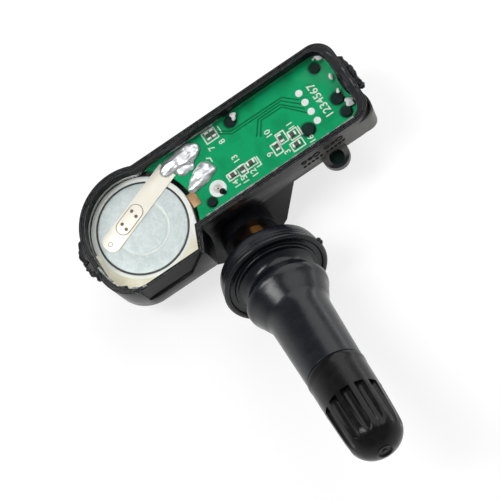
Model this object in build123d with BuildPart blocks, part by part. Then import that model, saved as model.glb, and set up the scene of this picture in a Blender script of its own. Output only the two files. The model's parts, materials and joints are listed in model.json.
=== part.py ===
import os
from math import atan2, cos, degrees, hypot, radians, sin

from build123d import *

os.makedirs("parts", exist_ok=True)

# Valve body, measured along its axis from the seat on the wheel rim (millimetres and degrees)
valve_tilt = 23.0
flange_r = 10.4
flange_rear_r = 9.7
flange_len = 4.5
flange_round = 0.6
lip_drop = 0.55
lip_land = 0.45
lip_rise = 0.4
face_groove_r = 9.2
face_groove_depth = 0.7
face_groove_slope = 0.25
seal_ring_r = 8.2
seal_ring_w = 0.8
rim_groove_r = 6.2
rim_groove_len = 4.2
rim_groove_lead = 1.1
rim_groove_round = 0.5
bulb_r = 8.1
bulb_len = 5.6
shank_root_r = 5.95
shank_tip_r = 5.5
shank_end = 24.35
shank_chamfer = 0.35

# Brass stem
neck_r = 3.9
insert_r = 3.4
thread_r = 3.78
thread_len = 13.25
stem_chamfer = 0.6
air_bore_r = 1.5
air_bore_lead = 0.7
air_hole_r = 1.0
air_hole_at = 6.3
air_bore_over = 0.3

# Valve core
core_bore_r = 2.5
core_low_bore_r = 2.2
core_low_bore_len = 7.0
core_fit = 0.05
core_len = 9.2
core_sunk = 1.4
core_chamfer = 0.4
core_nose_r = 1.9
core_nose_len = 1.3
core_seal_len = 1.1
core_seal_lead = 0.2
core_seat_len = 0.6
pin_r = 0.55
pin_sunk = 0.4
pin_chamfer = 0.2
pin_clearance = 0.25
pin_collar_r = 1.15
pin_collar_t = 0.5
pin_collar_drop = 1.8
spring_pocket_r = 1.4
spring_pocket_rise = 3.5
spring_pocket_room = 0.5
spring_wire_r = 0.13
spring_turns = 5
plunger_r = 1.5
plunger_t = 0.55
washer_t = 0.4
plunger_gap = 0.05

# Valve cap
cap_gap = 0.25
cap_bead_r = 5.68
cap_bead_w = 0.75
cap_bead_run = 0.9
cap_lip = 0.25
cap_r = 5.5
cap_tip_r = 5.1
cap_crown = 4.5
cap_dome = 3.9
cap_nose_r = 1.1
gate_r = 0.6
gate_depth = 0.25
cap_thread_gap = 0.2
cap_flutes = 12
flute_r = 1.0
flute_depth = 0.75
flute_from = 7.0
cap_seal_t = 0.9
cap_seal_gap = 0.2

# Bracket that carries the valve, square to the valve's axis
bracket_at = 14.2
boss_r = 5.4
boss_h = 3.3
boss_draft = 2.0
plate_t = 2.7
plate_seat = 1.2
stem_fit = 0.05
plate_top = 5.0
plate_drop = 6.4
plate_foot = 4.05
plate_right_top = 13.2
plate_right_low = 7.4
plate_right_drop = 4.0
plate_left = 10.2
plate_left_drop = 2.6
rib_t = 1.5
rib_x = 6.2
rib_back = 8.5
rib_drop = 5.0
screw_r = 1.7
screw_hole_r = 2.1
screw_head_r = 3.3
screw_head_t = 2.1
screw_len = 6.5
screw_spare = 0.4
screw_lobes = 6
screw_recess_r = 1.35
screw_lobe_r = 0.34
screw_recess_depth = 1.2

# Battery
cell_d = 20.0
cell_h = 5.0
cell_fit = 0.1
cell_edge = 0.4
crimp_w = 1.02
crimp_depth = 0.55
cell_cap_gap = 0.36
cell_mark_r = 5.0
cell_mark_w = 0.35
cell_mark_depth = 0.08

# Circuit board and what stands on it
board_drop = 3.6
board_t = 1.0
board_fit = 0.15
board_ledge = 0.7
board_gap = 0.85
board_corner = 2.6
peg_r = 1.0
peg_proud = 0.35
peg_fit = 0.1
chip_l = 1.6
chip_w = 0.8
chip_h = 0.55
chip_end = 0.35
chip_waist = 0.04
pad_pitch = 2.14
pad_count = 4
pad_r = 0.7
pad_t = 0.08
ring_pad_r = 1.65
ring_pad_t = 0.15
via_r = 0.45
via_along = 0.45
via_across = -1.0

# Parts under the board
sensor_l = 6.0
sensor_w = 6.0
sensor_h = 1.3
sensor_corner = 0.3
gasket_w = 0.7
port_r = 1.0
coil_l = 7.2
coil_w = 2.6
coil_h = 2.2
coil_room = 0.5
coil_cheek = 0.8
coil_neck = 0.45
crystal_l = 3.2
crystal_w = 2.5
crystal_h = 0.75

# Strip tabs, solder joints and the clear filling
tab_w = 3.9
tab_t = 0.2
tab_tip_x = -7.75
tab_tip_y = 0.3
tab_onto_board = 1.0
tab_from_back = 3.4
tab_tip_corner = 1.6
tab_end_taper = 0.85
tab_oval_at = 7.0
tab_oval_l = 6.6
tab_oval_w = 3.0
tab_oval_h = 0.12
plus_tab_reach = 0.95
plus_tab_from_front = 7.8
plus_tab_w = 2.9
plus_tab_leg = 3.2
plus_tab_gap = 0.08
solder_r = 1.6
solder_h = 1.25
solder_round = 0.55
gel_over = 0.9

# Housing, measured from the battery's centre and the open rim
cell_x = -15.65
wall_behind_bracket = 1.53
floor_over_bracket = 3.35
wall = 1.1
floor_t = 1.1
tail_len = 47.4
tail_back = 10.2
tail_front = 7.4
tail_corner = 3.8
tail_end_wall = 1.9
bay_skirt = 2.9
bay_corner = 7.0
bay_shoulder = 7.6
bay_root_in = 1.4
bay_root_y = 6.6
bay_join_angle = 20.0
bay_chamfer = 1.8
bay_hollow_in = 2.2
well_step = 0.55
panel_wall = 0.55
panel_step = 0.55
panel_left = 6.2
panel_right_top = 7.2
panel_right_low = 3.0
panel_depth = 7.0
rim_channel_in = 0.35
rim_channel_w = 0.3
rim_channel_depth = 0.3
flash_h = 0.9
flash_drop = 1.25
flash_spread = 0.5
ear_from_end = 10.2
ear_reach = 0.75
ear_r = 2.65
ear_hole_reach = 1.25
ear_hole_r = 1.45
ear_h = 1.7
ear_hole_floor = 0.4

# Torn flash at each end of the rim: share of the half width across, share of the reach
flash_reach = 1.1
bay_flash = [(0.33, 0.1), (0.2, 0.65), (0.09, 0.4), (-0.06, 0.9), (-0.26, 0.55), (-0.41, 0.1)]
tail_flash = [(0.48, 0.35), (0.31, 0.9), (0.19, 0.55), (0.04, 1.0), (-0.12, 0.45)]

# Places on the board: share of the run from the battery to the end wall, share of the width from the front
pad_spot = (0.781, 0.688)
ring_pad_spot = (0.1414, 0.3125)
sensor_spot = (0.495, 0.506)
coil_spot = (0.801, 0.568)
crystal_spot = (0.264, 0.591)

# Where the housing's pegs stand, and each one's share of the peg radius
peg_spots = [
    (0.391, 0.858, 1.0),
    (0.925, 0.824, 0.95),
    (0.934, 0.403, 1.15),
    (0.934, 0.227, 1.0),
    (0.714, 0.295, 1.2),
    (0.0765, 0.222, 0.8),
]

# Where the small chip parts stand, and their turn
chip_spots = [
    (0.25, 0.858, 90),
    (0.281, 0.858, 90),
    (0.247, 0.344, 0),
    (0.3045, 0.338, 90),
    (0.362, 0.344, 0),
    (0.524, 0.33, 90),
    (0.567, 0.381, 90),
    (0.628, 0.344, 0),
    (0.619, 0.227, 0),
]

# Round lobes that each solder joint spreads over, and each one's share of the solder radius
negative_lobes = [(0.01, 0.818, 1.0), (0.1255, 0.824, 0.875), (0.039, 0.756, 0.625)]
positive_lobes = [(0.042, 0.489, 0.69), (0.1486, 0.557, 0.81), (0.1255, 0.625, 0.56)]

# Places along the valve's axis
stem_end = shank_end + thread_len
core_end = stem_end - core_sunk
core_start = core_end - core_len
core_bore_end = core_start - core_low_bore_len
core_seal_from = core_start + core_nose_len
core_seal_end = core_seal_from + core_seal_len
pin_top = stem_end - pin_sunk
pin_collar_at = core_end - pin_collar_drop
spring_pocket_from = core_start + spring_pocket_rise
spring_pocket_end = pin_collar_at + pin_collar_t + spring_pocket_room
cap_from = shank_end + cap_gap
cap_seal_from = stem_end + cap_seal_gap
cap_bore_end = cap_seal_from + cap_seal_t
cap_end = cap_bore_end + cap_crown
plate_front = -bracket_at
plate_rear = plate_front - plate_t
boss_front = plate_front + boss_h
stem_start = plate_front - plate_seat
insert_end = shank_end - thread_r + insert_r
screw_hole_end = plate_rear + screw_len + screw_spare
air_bore_end = -air_hole_at - air_hole_r - air_bore_over

# Heights, from the tail's floor upwards and from the board downwards to the battery bay
tilt_cos = cos(radians(valve_tilt))
tilt_sin = sin(radians(valve_tilt))
cell_y = bracket_at * tilt_cos + wall_behind_bracket + tail_front
tail_floor_z = floor_over_bracket - bracket_at * tilt_sin
tail_inner_z = tail_floor_z + floor_t
board_low_z = tail_inner_z + coil_h + coil_room
board_z = board_low_z + board_t
rim_z = board_z + board_drop
cell_low_z = board_z - cell_h
bay_floor_z = cell_low_z - floor_t
bay_low_z = bay_floor_z - bay_skirt

# Edges that the board's parts are placed from
cell_r = cell_d / 2
crimp_r = cell_r - crimp_w
bay_r = cell_r + cell_fit + wall
panel_y = cell_r + cell_fit + well_step + panel_wall
bay_front = panel_y + panel_step
cell_side = cell_r + board_gap
tail_inner_len = tail_len - tail_end_wall
tail_inner_w = tail_back + tail_front - 2 * wall
tail_middle_y = (tail_back - tail_front) / 2
board_run = tail_inner_len - cell_side
body_w = tail_back + tail_front
plus_tab_top = plus_tab_from_front - tail_front


def on_board(along, across):
    return (cell_side + along * board_run, across * body_w - tail_front)


def body_plane(z):
    return Plane(origin=(cell_x, cell_y, z))


# The valve's axis rises away from the body; each turned profile runs along it, with its radius upwards
axis_dir = Vector(0, -tilt_cos, tilt_sin)
valve_axis = Axis((0, 0, 0), axis_dir)
valve_section = Plane(origin=(0, 0, 0), x_dir=axis_dir, z_dir=(-1, 0, 0))


def across_valve(along):
    return Plane(origin=axis_dir * along, x_dir=(1, 0, 0), z_dir=axis_dir)


def draw_tail():
    with BuildSketch(mode=Mode.PRIVATE) as tail_outline:
        with Locations((tail_len / 2, tail_middle_y)):
            Rectangle(tail_len, tail_back + tail_front)
        fillet(tail_outline.vertices().group_by(Axis.X)[-1], radius=tail_corner)
    return tail_outline.sketch


def draw_tail_inside(length, inset):
    with BuildSketch(mode=Mode.PRIVATE) as inside_outline:
        with Locations((length / 2, tail_middle_y)):
            Rectangle(length, tail_inner_w - 2 * inset)
        fillet(inside_outline.vertices().group_by(Axis.X)[-1], radius=tail_corner - wall)
    return inside_outline.sketch


def draw_bay():
    join_x = bay_r * cos(radians(bay_join_angle))
    join_y = -bay_r * sin(radians(bay_join_angle))
    with BuildSketch(mode=Mode.PRIVATE) as bay_outline:
        with BuildLine():
            ThreePointArc((join_x, join_y), (0, bay_r), (-bay_r, 0))
            Polyline(
                (-bay_r, 0),
                (-bay_r, -bay_front),
                (bay_shoulder, -bay_front),
                (bay_r - bay_root_in, -bay_root_y),
                (join_x, join_y),
            )
        make_face()
        fillet(bay_outline.vertices().sort_by_distance((-bay_r, -bay_front))[0], radius=bay_corner)
    return bay_outline.sketch


tail_sketch = draw_tail()
bay_sketch = draw_bay()
well_sketch = offset(bay_sketch, amount=-wall)
board_bed_sketch = draw_tail_inside(tail_inner_len, 0)
under_board_sketch = draw_tail_inside(tail_inner_len - board_ledge, board_ledge)

# Housing: open tray for the board, deeper round bay for the battery, bracket and ear, moulded as one
with BuildPart() as housing:
    with BuildSketch(body_plane(rim_z)):
        add(tail_sketch)
    extrude(amount=tail_floor_z - rim_z)
    with BuildSketch(body_plane(rim_z)):
        add(bay_sketch)
    extrude(amount=bay_low_z - rim_z)
    chamfer(housing.faces().sort_by(Axis.Z)[0].edges(), length=bay_chamfer)

    # Bracket plate square to the valve, its boss and the ribs behind it
    with BuildSketch(across_valve(plate_front)):
        with BuildLine():
            Polyline(
                (-plate_left, plate_top),
                (-plate_left, -plate_left_drop),
                (-plate_foot, -plate_drop),
                (plate_foot, -plate_drop),
                (plate_right_low, -plate_right_drop),
                (plate_right_top, plate_top),
                close=True,
            )
        make_face()
    extrude(amount=-plate_t)
    with BuildSketch(across_valve(plate_front)):
        Circle(boss_r)
    extrude(amount=boss_h, taper=-boss_draft)
    plate_middle = axis_dir * (plate_rear + plate_t / 2)
    rib_foot = plate_middle - Vector(0, tilt_sin, tilt_cos) * rib_drop
    rib_high_z = tail_floor_z + floor_t / 2
    rib_low_z = tail_floor_z - floor_t / 2
    rib_front_y = plate_middle.Y + (rib_high_z - plate_middle.Z) * tilt_sin / tilt_cos
    for side in (-1, 1):
        with BuildSketch(Plane.YZ.offset(side * rib_x - rib_t / 2)):
            with BuildLine():
                Polyline(
                    (rib_foot.Y, rib_foot.Z),
                    (rib_front_y, rib_high_z),
                    (rib_front_y + rib_back, rib_high_z),
                    (rib_front_y + rib_back, rib_low_z),
                    close=True,
                )
            make_face()
        extrude(amount=rib_t)

    # Ear on the front wall
    ear_x = tail_len - ear_from_end
    with BuildSketch(body_plane(tail_floor_z)):
        with Locations((ear_x, -tail_front - ear_reach)):
            Circle(ear_r)
        with Locations((ear_x, -tail_front - ear_reach / 2)):
            Rectangle(2 * ear_r, ear_reach)
    extrude(amount=ear_h)

    # Torn moulding flash at both ends of the rim
    with BuildSketch(body_plane(rim_z - flash_drop)):
        for edge_x, side, tears in ((-bay_r, -1, bay_flash), (tail_len, 1, tail_flash)):
            with BuildLine():
                Polyline(
                    (edge_x - side * wall, tears[0][0] * tail_back + flash_spread),
                    *[(edge_x + side * reach * flash_reach, tear * tail_back) for tear, reach in tears],
                    (edge_x - side * wall, tears[-1][0] * tail_back - flash_spread),
                    close=True,
                )
            make_face()
    extrude(amount=flash_h)

    # Bed for the board, room under it, pocket for the battery and wider well above it
    with BuildSketch(body_plane(rim_z)):
        add(board_bed_sketch)
    extrude(amount=board_low_z - rim_z, mode=Mode.SUBTRACT)
    with BuildSketch(body_plane(board_low_z)):
        add(under_board_sketch)
    extrude(amount=tail_inner_z - board_low_z, mode=Mode.SUBTRACT)
    with BuildSketch(body_plane(rim_z)):
        Circle(cell_r + cell_fit)
    extrude(amount=cell_low_z - rim_z, mode=Mode.SUBTRACT)
    with BuildSketch(body_plane(rim_z)):
        add(well_sketch)
    extrude(amount=board_z - rim_z, mode=Mode.SUBTRACT)

    # Hollow under the battery floor, crossed by two ribs
    with BuildSketch(body_plane(bay_low_z)):
        Circle(cell_r - bay_hollow_in)
        Rectangle(2 * cell_r, wall, mode=Mode.SUBTRACT)
        Rectangle(wall, 2 * cell_r, mode=Mode.SUBTRACT)
    extrude(amount=bay_floor_z - bay_low_z, mode=Mode.SUBTRACT)

    # Flat panel that thins the battery's front wall, with a slanted side
    with BuildSketch(Plane(origin=(cell_x, cell_y - panel_y, rim_z), x_dir=(1, 0, 0), z_dir=(0, -1, 0))):
        with BuildLine():
            Polyline(
                (-panel_left, 0),
                (panel_right_top, 0),
                (panel_right_low, -panel_depth),
                (-panel_left, -panel_depth),
                close=True,
            )
        make_face()
    extrude(amount=bay_front, mode=Mode.SUBTRACT)

    # Channel along the top of the rim
    with BuildSketch(body_plane(rim_z)):
        add(tail_sketch)
        add(bay_sketch)
        offset(amount=-rim_channel_in, mode=Mode.REPLACE)
        offset(amount=-rim_channel_w, mode=Mode.SUBTRACT)
    extrude(amount=-rim_channel_depth, mode=Mode.SUBTRACT)

    # Pegs that hold the board
    for along, across, share in peg_spots:
        with BuildSketch(body_plane(rib_high_z)):
            with Locations(on_board(along, across)):
                Circle(peg_r * share)
        extrude(amount=board_z + peg_proud - rib_high_z)

    # Bores: stem seat and screw through the plate, ear hole, pressure port
    with BuildSketch(across_valve(stem_start)):
        Circle(neck_r + stem_fit)
    extrude(amount=boss_front - stem_start, mode=Mode.SUBTRACT)
    with BuildSketch(across_valve(plate_rear)):
        Circle(screw_hole_r)
    extrude(amount=plate_t, mode=Mode.SUBTRACT)
    with BuildSketch(body_plane(tail_floor_z + ear_hole_floor)):
        with Locations((ear_x, -tail_front - ear_hole_reach)):
            Circle(ear_hole_r)
    extrude(amount=ear_h, mode=Mode.SUBTRACT)
    with BuildSketch(body_plane(tail_floor_z)):
        with Locations(on_board(*sensor_spot)):
            Circle(port_r)
    extrude(amount=floor_t, mode=Mode.SUBTRACT)
housing.part.label = "housing"
export_step(housing.part, "parts/housing.step")

# Circuit board: hollowed round the battery, drilled for the pegs
ring_pad_x, ring_pad_y = on_board(*ring_pad_spot)
with BuildPart() as circuit_board:
    with BuildSketch(body_plane(board_low_z)) as board_outline:
        with Locations(((tail_inner_len - board_fit) / 2, tail_middle_y)):
            Rectangle(tail_inner_len - board_fit, tail_inner_w - 2 * board_fit)
        fillet(board_outline.vertices().group_by(Axis.X)[-1], radius=board_corner)
        Circle(cell_side, mode=Mode.SUBTRACT)
        for along, across, share in peg_spots:
            with Locations(on_board(along, across)):
                Circle(peg_r * share + peg_fit, mode=Mode.SUBTRACT)
        with Locations((ring_pad_x + via_along, ring_pad_y + via_across)):
            Circle(via_r, mode=Mode.SUBTRACT)
    extrude(amount=board_t)
circuit_board.part.label = "circuit_board"
export_step(circuit_board.part, "parts/circuit_board.step")

# Battery: sealed can with a crimped rim, insulating ring and top cap
battery_section = Plane(origin=(cell_x, cell_y, cell_low_z), x_dir=(1, 0, 0), z_dir=(0, -1, 0))
battery_axis = Axis((cell_x, cell_y, 0), (0, 0, 1))
with BuildPart() as battery_can:
    with BuildSketch(battery_section) as can_section:
        with BuildLine():
            Polyline(
                (0, 0),
                (cell_r, 0),
                (cell_r, cell_h),
                (crimp_r, cell_h),
                (crimp_r, cell_h - crimp_depth),
                (0, cell_h - crimp_depth),
                close=True,
            )
        make_face()
        fillet(can_section.vertices().group_by(Axis.X)[-1], radius=cell_edge)
    revolve(axis=battery_axis)
battery_can.part.label = "battery_can"
export_step(battery_can.part, "parts/battery_can.step")

cell_cap_r = crimp_r - cell_cap_gap
with BuildPart() as battery_gasket:
    with BuildSketch(body_plane(board_z - crimp_depth)):
        Circle(crimp_r)
        Circle(cell_cap_r, mode=Mode.SUBTRACT)
    extrude(amount=crimp_depth)
battery_gasket.part.label = "battery_gasket"
export_step(battery_gasket.part, "parts/battery_gasket.step")

with BuildPart() as battery_cap:
    with BuildSketch(body_plane(board_z - crimp_depth)):
        Circle(cell_cap_r)
    extrude(amount=crimp_depth)
    with BuildSketch(body_plane(board_z)):
        Circle(cell_mark_r + cell_mark_w / 2)
        Circle(cell_mark_r - cell_mark_w / 2, mode=Mode.SUBTRACT)
    extrude(amount=-cell_mark_depth, mode=Mode.SUBTRACT)
battery_cap.part.label = "battery_cap"
export_step(battery_cap.part, "parts/battery_cap.step")

# Welded strip from the battery's cap to the board, with an embossed oval
tab_run_x = cell_side - tab_onto_board - tab_tip_x
tab_run_y = tail_back - tab_from_back - tab_tip_y
tab_angle = degrees(atan2(tab_run_y, tab_run_x))
tab_dir = (cos(radians(tab_angle)), sin(radians(tab_angle)), 0)
tab_len = hypot(tab_run_x, tab_run_y)
tab_plane = Plane(origin=(cell_x + tab_tip_x, cell_y + tab_tip_y, board_z), x_dir=tab_dir, z_dir=(0, 0, 1))
with BuildPart() as negative_tab:
    with BuildSketch(tab_plane) as tab_outline:
        with Locations((tab_len / 2, 0)):
            Rectangle(tab_len, tab_w)
        tip_corners = tab_outline.vertices().sort_by_distance((0, 0))[0:2]
        end_corners = tab_outline.vertices().sort_by_distance((tab_len, 0))[0:2]
        fillet(tip_corners, radius=tab_tip_corner)
        chamfer(end_corners, length=2 * tab_end_taper, length2=tab_end_taper)
    extrude(amount=tab_t)
    with BuildSketch(tab_plane.offset(tab_t)):
        with Locations((tab_oval_at, 0)):
            SlotOverall(tab_oval_l, tab_oval_w)
    extrude(amount=tab_oval_h)
negative_tab.part.label = "negative_tab"
export_step(negative_tab.part, "parts/negative_tab.step")

# Strip from the battery's side, bent over the edge of the board
plus_leg_x = cell_r + plus_tab_gap
plus_end_x = cell_side + plus_tab_reach
with BuildPart() as positive_tab:
    with BuildSketch(Plane(origin=(cell_x, cell_y + plus_tab_top, board_z), x_dir=(1, 0, 0), z_dir=(0, -1, 0))):
        with BuildLine():
            Polyline(
                (plus_leg_x, tab_t),
                (plus_end_x, tab_t),
                (plus_end_x, 0),
                (plus_leg_x + tab_t, 0),
                (plus_leg_x + tab_t, -plus_tab_leg),
                (plus_leg_x, -plus_tab_leg),
                close=True,
            )
        make_face()
    extrude(amount=plus_tab_w)
positive_tab.part.label = "positive_tab"
export_step(positive_tab.part, "parts/positive_tab.step")


def draw_lobes(lobes):
    for along, across, share in lobes:
        with Locations(on_board(along, across)):
            Circle(solder_r * share)
    make_hull()


# Solder joints over the two strips
with BuildPart() as negative_solder:
    with BuildSketch(body_plane(board_z)):
        draw_lobes(negative_lobes)
    extrude(amount=solder_h)
    fillet(negative_solder.faces().sort_by(Axis.Z)[-1].edges(), radius=solder_round)
    add(negative_tab.part, mode=Mode.SUBTRACT)
negative_solder.part.label = "negative_solder"
export_step(negative_solder.part, "parts/negative_solder.step")

with BuildPart() as positive_solder:
    with BuildSketch(body_plane(board_z)):
        draw_lobes(positive_lobes)
    extrude(amount=solder_h)
    fillet(positive_solder.faces().sort_by(Axis.Z)[-1].edges(), radius=solder_round)
    add(positive_tab.part, mode=Mode.SUBTRACT)
positive_solder.part.label = "positive_solder"
export_step(positive_solder.part, "parts/positive_solder.step")

# Bare metal pads on the board
with BuildPart() as test_pads:
    pad_x, pad_y = on_board(*pad_spot)
    for index in range(pad_count):
        with BuildSketch(body_plane(board_z)):
            with Locations((pad_x, pad_y - index * pad_pitch)):
                Circle(pad_r)
        extrude(amount=pad_t)
test_pads.part.label = "test_pads"
export_step(test_pads.part, "parts/test_pads.step")

with BuildPart() as ring_pad:
    with BuildSketch(body_plane(board_z)):
        with Locations((ring_pad_x, ring_pad_y)):
            Circle(ring_pad_r)
        with Locations((ring_pad_x + via_along, ring_pad_y + via_across)):
            Circle(via_r, mode=Mode.SUBTRACT)
    extrude(amount=ring_pad_t)
ring_pad.part.label = "ring_pad"
export_step(ring_pad.part, "parts/ring_pad.step")

# Small chip parts, each a body waisted between two metal ends
chip_parts = []
for number, (along, across, turn) in enumerate(chip_spots, start=1):
    chip_x, chip_y = on_board(along, across)
    chip_dir = (cos(radians(turn)), sin(radians(turn)), 0)
    chip_plane = Plane(origin=(cell_x + chip_x, cell_y + chip_y, board_z), x_dir=chip_dir, z_dir=(0, 0, 1))
    with BuildPart() as chip_part:
        with BuildSketch(chip_plane):
            Rectangle(chip_l - 2 * chip_end, chip_w - 2 * chip_waist)
        extrude(amount=chip_h - chip_waist)
        with BuildSketch(chip_plane):
            for end in (-1, 1):
                with Locations((end * (chip_l - chip_end) / 2, 0)):
                    Rectangle(chip_end, chip_w)
        extrude(amount=chip_h)
    chip_part.part.label = f"chip_part_{number}"
    export_step(chip_part.part, f"parts/chip_part_{number}.step")
    chip_parts.append(chip_part)

# Pressure sensor chip under the board, and the ring that seals it to the port
with BuildPart() as sensor_chip:
    with BuildSketch(body_plane(board_low_z)):
        with Locations(on_board(*sensor_spot)):
            RectangleRounded(sensor_l, sensor_w, sensor_corner)
    extrude(amount=-sensor_h)
    with BuildSketch(body_plane(board_low_z - sensor_h)):
        with Locations(on_board(*sensor_spot)):
            Circle(port_r)
    extrude(amount=sensor_h / 2, mode=Mode.SUBTRACT)
sensor_chip.part.label = "sensor_chip"
export_step(sensor_chip.part, "parts/sensor_chip.step")

with BuildPart() as port_gasket:
    with BuildSketch(body_plane(tail_inner_z)):
        with Locations(on_board(*sensor_spot)):
            Circle(port_r + gasket_w)
            Circle(port_r, mode=Mode.SUBTRACT)
    extrude(amount=board_low_z - sensor_h - tail_inner_z)
port_gasket.part.label = "port_gasket"
export_step(port_gasket.part, "parts/port_gasket.step")

# Wake-up aerial: a ferrite bobbin and its winding
coil_low_z = board_low_z - coil_h
with BuildPart() as coil_core:
    with BuildSketch(body_plane(coil_low_z)):
        with Locations(on_board(*coil_spot)):
            Rectangle(coil_w, coil_l)
            Rectangle(coil_w, coil_l - 2 * coil_cheek, mode=Mode.SUBTRACT)
    extrude(amount=coil_h)
    with BuildSketch(body_plane(coil_low_z + coil_neck)):
        with Locations(on_board(*coil_spot)):
            Rectangle(coil_w - 2 * coil_neck, coil_l - coil_cheek)
    extrude(amount=coil_h - 2 * coil_neck)
coil_core.part.label = "coil_core"
export_step(coil_core.part, "parts/coil_core.step")

with BuildPart() as coil_winding:
    with BuildSketch(body_plane(coil_low_z + coil_neck / 2)):
        with Locations(on_board(*coil_spot)):
            Rectangle(coil_w - coil_neck, coil_l - 2 * coil_cheek)
    extrude(amount=coil_h - coil_neck)
    with BuildSketch(body_plane(coil_low_z + coil_neck)):
        with Locations(on_board(*coil_spot)):
            Rectangle(coil_w - 2 * coil_neck, coil_l)
    extrude(amount=coil_h - 2 * coil_neck, mode=Mode.SUBTRACT)
coil_winding.part.label = "coil_winding"
export_step(coil_winding.part, "parts/coil_winding.step")

with BuildPart() as crystal_can:
    with BuildSketch(body_plane(board_low_z)):
        with Locations(on_board(*crystal_spot)):
            RectangleRounded(crystal_l, crystal_w, sensor_corner)
    extrude(amount=-crystal_h)
crystal_can.part.label = "crystal_can"
export_step(crystal_can.part, "parts/crystal_can.step")

# Clear filling poured over the board and the battery
with BuildPart() as potting_gel:
    with BuildSketch(body_plane(board_z)):
        add(board_bed_sketch)
        add(well_sketch)
    extrude(amount=gel_over)
    for along, across, share in peg_spots:
        with BuildSketch(body_plane(board_z)):
            with Locations(on_board(along, across)):
                Circle(peg_r * share)
        extrude(amount=peg_proud, mode=Mode.SUBTRACT)
    covered = [negative_tab, positive_tab, negative_solder, positive_solder, test_pads, ring_pad]
    for inside in covered + chip_parts:
        add(inside.part, mode=Mode.SUBTRACT)
potting_gel.part.label = "potting_gel"
export_step(potting_gel.part, "parts/potting_gel.step")

# Brass stem: foot in the bracket, neck, length under the rubber, thread for the cap
with BuildPart() as brass_stem:
    with BuildSketch(valve_section):
        with BuildLine():
            Polyline(
                (stem_start, screw_r + stem_fit),
                (stem_start, neck_r),
                (-flange_len, neck_r),
                (-flange_len, insert_r),
                (insert_end, insert_r),
                (shank_end, thread_r),
                (stem_end - stem_chamfer, thread_r),
                (stem_end, thread_r - stem_chamfer),
                (stem_end, core_bore_r),
                (core_seal_from, core_bore_r),
                (core_seal_from - core_seat_len, core_low_bore_r),
                (core_bore_end, core_low_bore_r),
                (core_bore_end - air_bore_lead, air_bore_r),
                (air_bore_end, air_bore_r),
                (air_bore_end, 0),
                (screw_hole_end, 0),
                (screw_hole_end, screw_r + stem_fit),
                close=True,
            )
        make_face()
    revolve(axis=valve_axis)
    with BuildSketch(Plane(origin=axis_dir * -air_hole_at, x_dir=axis_dir, z_dir=(1, 0, 0))):
        Circle(air_hole_r)
    extrude(amount=neck_r + stem_fit, both=True, mode=Mode.SUBTRACT)
brass_stem.part.label = "brass_stem"
export_step(brass_stem.part, "parts/brass_stem.step")

# Rubber body moulded on the stem: flange, groove for the wheel rim, bulb and tapered shank
bulb_end = rim_groove_len + bulb_len
bulb_middle = ((rim_groove_len + bulb_end) / 2, (bulb_r + shank_root_r) / 2)
with BuildPart() as rubber_valve_body:
    with BuildSketch(valve_section) as rubber_section:
        with BuildLine():
            Polyline(
                (insert_end, insert_r),
                (-flange_len, insert_r),
                (-flange_len, flange_rear_r),
                (-lip_drop, flange_r),
                (lip_rise - lip_drop, flange_r - lip_land),
                (lip_rise - lip_drop, face_groove_r + face_groove_slope),
                (-face_groove_depth, face_groove_r),
                (-face_groove_depth, seal_ring_r),
                (0, seal_ring_r),
                (0, seal_ring_r - seal_ring_w),
                (rim_groove_lead, rim_groove_r),
                (rim_groove_len, rim_groove_r),
                (rim_groove_len, bulb_r),
            )
            TangentArc((rim_groove_len, bulb_r), bulb_middle, tangent=(1, 0))
            TangentArc((bulb_end, shank_root_r), bulb_middle, tangent=(-1, 0))
            Polyline(
                (bulb_end, shank_root_r),
                (shank_end - shank_chamfer, shank_tip_r),
                (shank_end, shank_tip_r - shank_chamfer),
                (shank_end, thread_r),
                (insert_end, insert_r),
            )
        make_face()
        flange_corner = rubber_section.vertices().sort_by_distance((-flange_len, flange_rear_r))[0]
        fillet(flange_corner, radius=flange_round)
        groove_corner = rubber_section.vertices().sort_by_distance((rim_groove_len, rim_groove_r))[0]
        fillet(groove_corner, radius=rim_groove_round)
    revolve(axis=valve_axis)
rubber_valve_body.part.label = "rubber_valve_body"
export_step(rubber_valve_body.part, "parts/rubber_valve_body.step")

# Valve core: screwed barrel, its seal, sprung pin with plunger
core_r = core_bore_r - core_fit
pin_bore_r = pin_r + pin_clearance
with BuildPart() as core_barrel:
    with BuildSketch(valve_section):
        with BuildLine():
            Polyline(
                (core_start, pin_bore_r),
                (core_start, core_nose_r),
                (core_seal_end, core_nose_r),
                (core_seal_end, core_r),
                (core_end - core_chamfer, core_r),
                (core_end, core_r - core_chamfer),
                (core_end, pin_bore_r),
                (spring_pocket_end, pin_bore_r),
                (spring_pocket_end, spring_pocket_r),
                (spring_pocket_from, spring_pocket_r),
                (spring_pocket_from, pin_bore_r),
                close=True,
            )
        make_face()
    revolve(axis=valve_axis)
core_barrel.part.label = "core_barrel"
export_step(core_barrel.part, "parts/core_barrel.step")

with BuildPart() as core_seal:
    with BuildSketch(valve_section):
        with BuildLine():
            Polyline(
                (core_seal_from, core_nose_r),
                (core_seal_from, core_r - core_seal_lead),
                (core_seal_from + 2 * core_seal_lead, core_r),
                (core_seal_end, core_r),
                (core_seal_end, core_nose_r),
                close=True,
            )
        make_face()
    revolve(axis=valve_axis)
core_seal.part.label = "core_seal"
export_step(core_seal.part, "parts/core_seal.step")

plunger_end = core_start - plunger_gap - washer_t
pin_start = plunger_end - plunger_t
with BuildPart() as core_pin:
    with BuildSketch(valve_section):
        with BuildLine():
            Polyline(
                (pin_start, 0),
                (pin_start, pin_r),
                (pin_collar_at, pin_r),
                (pin_collar_at, pin_collar_r),
                (pin_collar_at + pin_collar_t, pin_collar_r),
                (pin_collar_at + pin_collar_t, pin_r),
                (pin_top - pin_chamfer, pin_r),
                (pin_top, pin_r - pin_chamfer),
                (pin_top, 0),
                close=True,
            )
        make_face()
    revolve(axis=valve_axis)
core_pin.part.label = "core_pin"
export_step(core_pin.part, "parts/core_pin.step")

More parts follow.
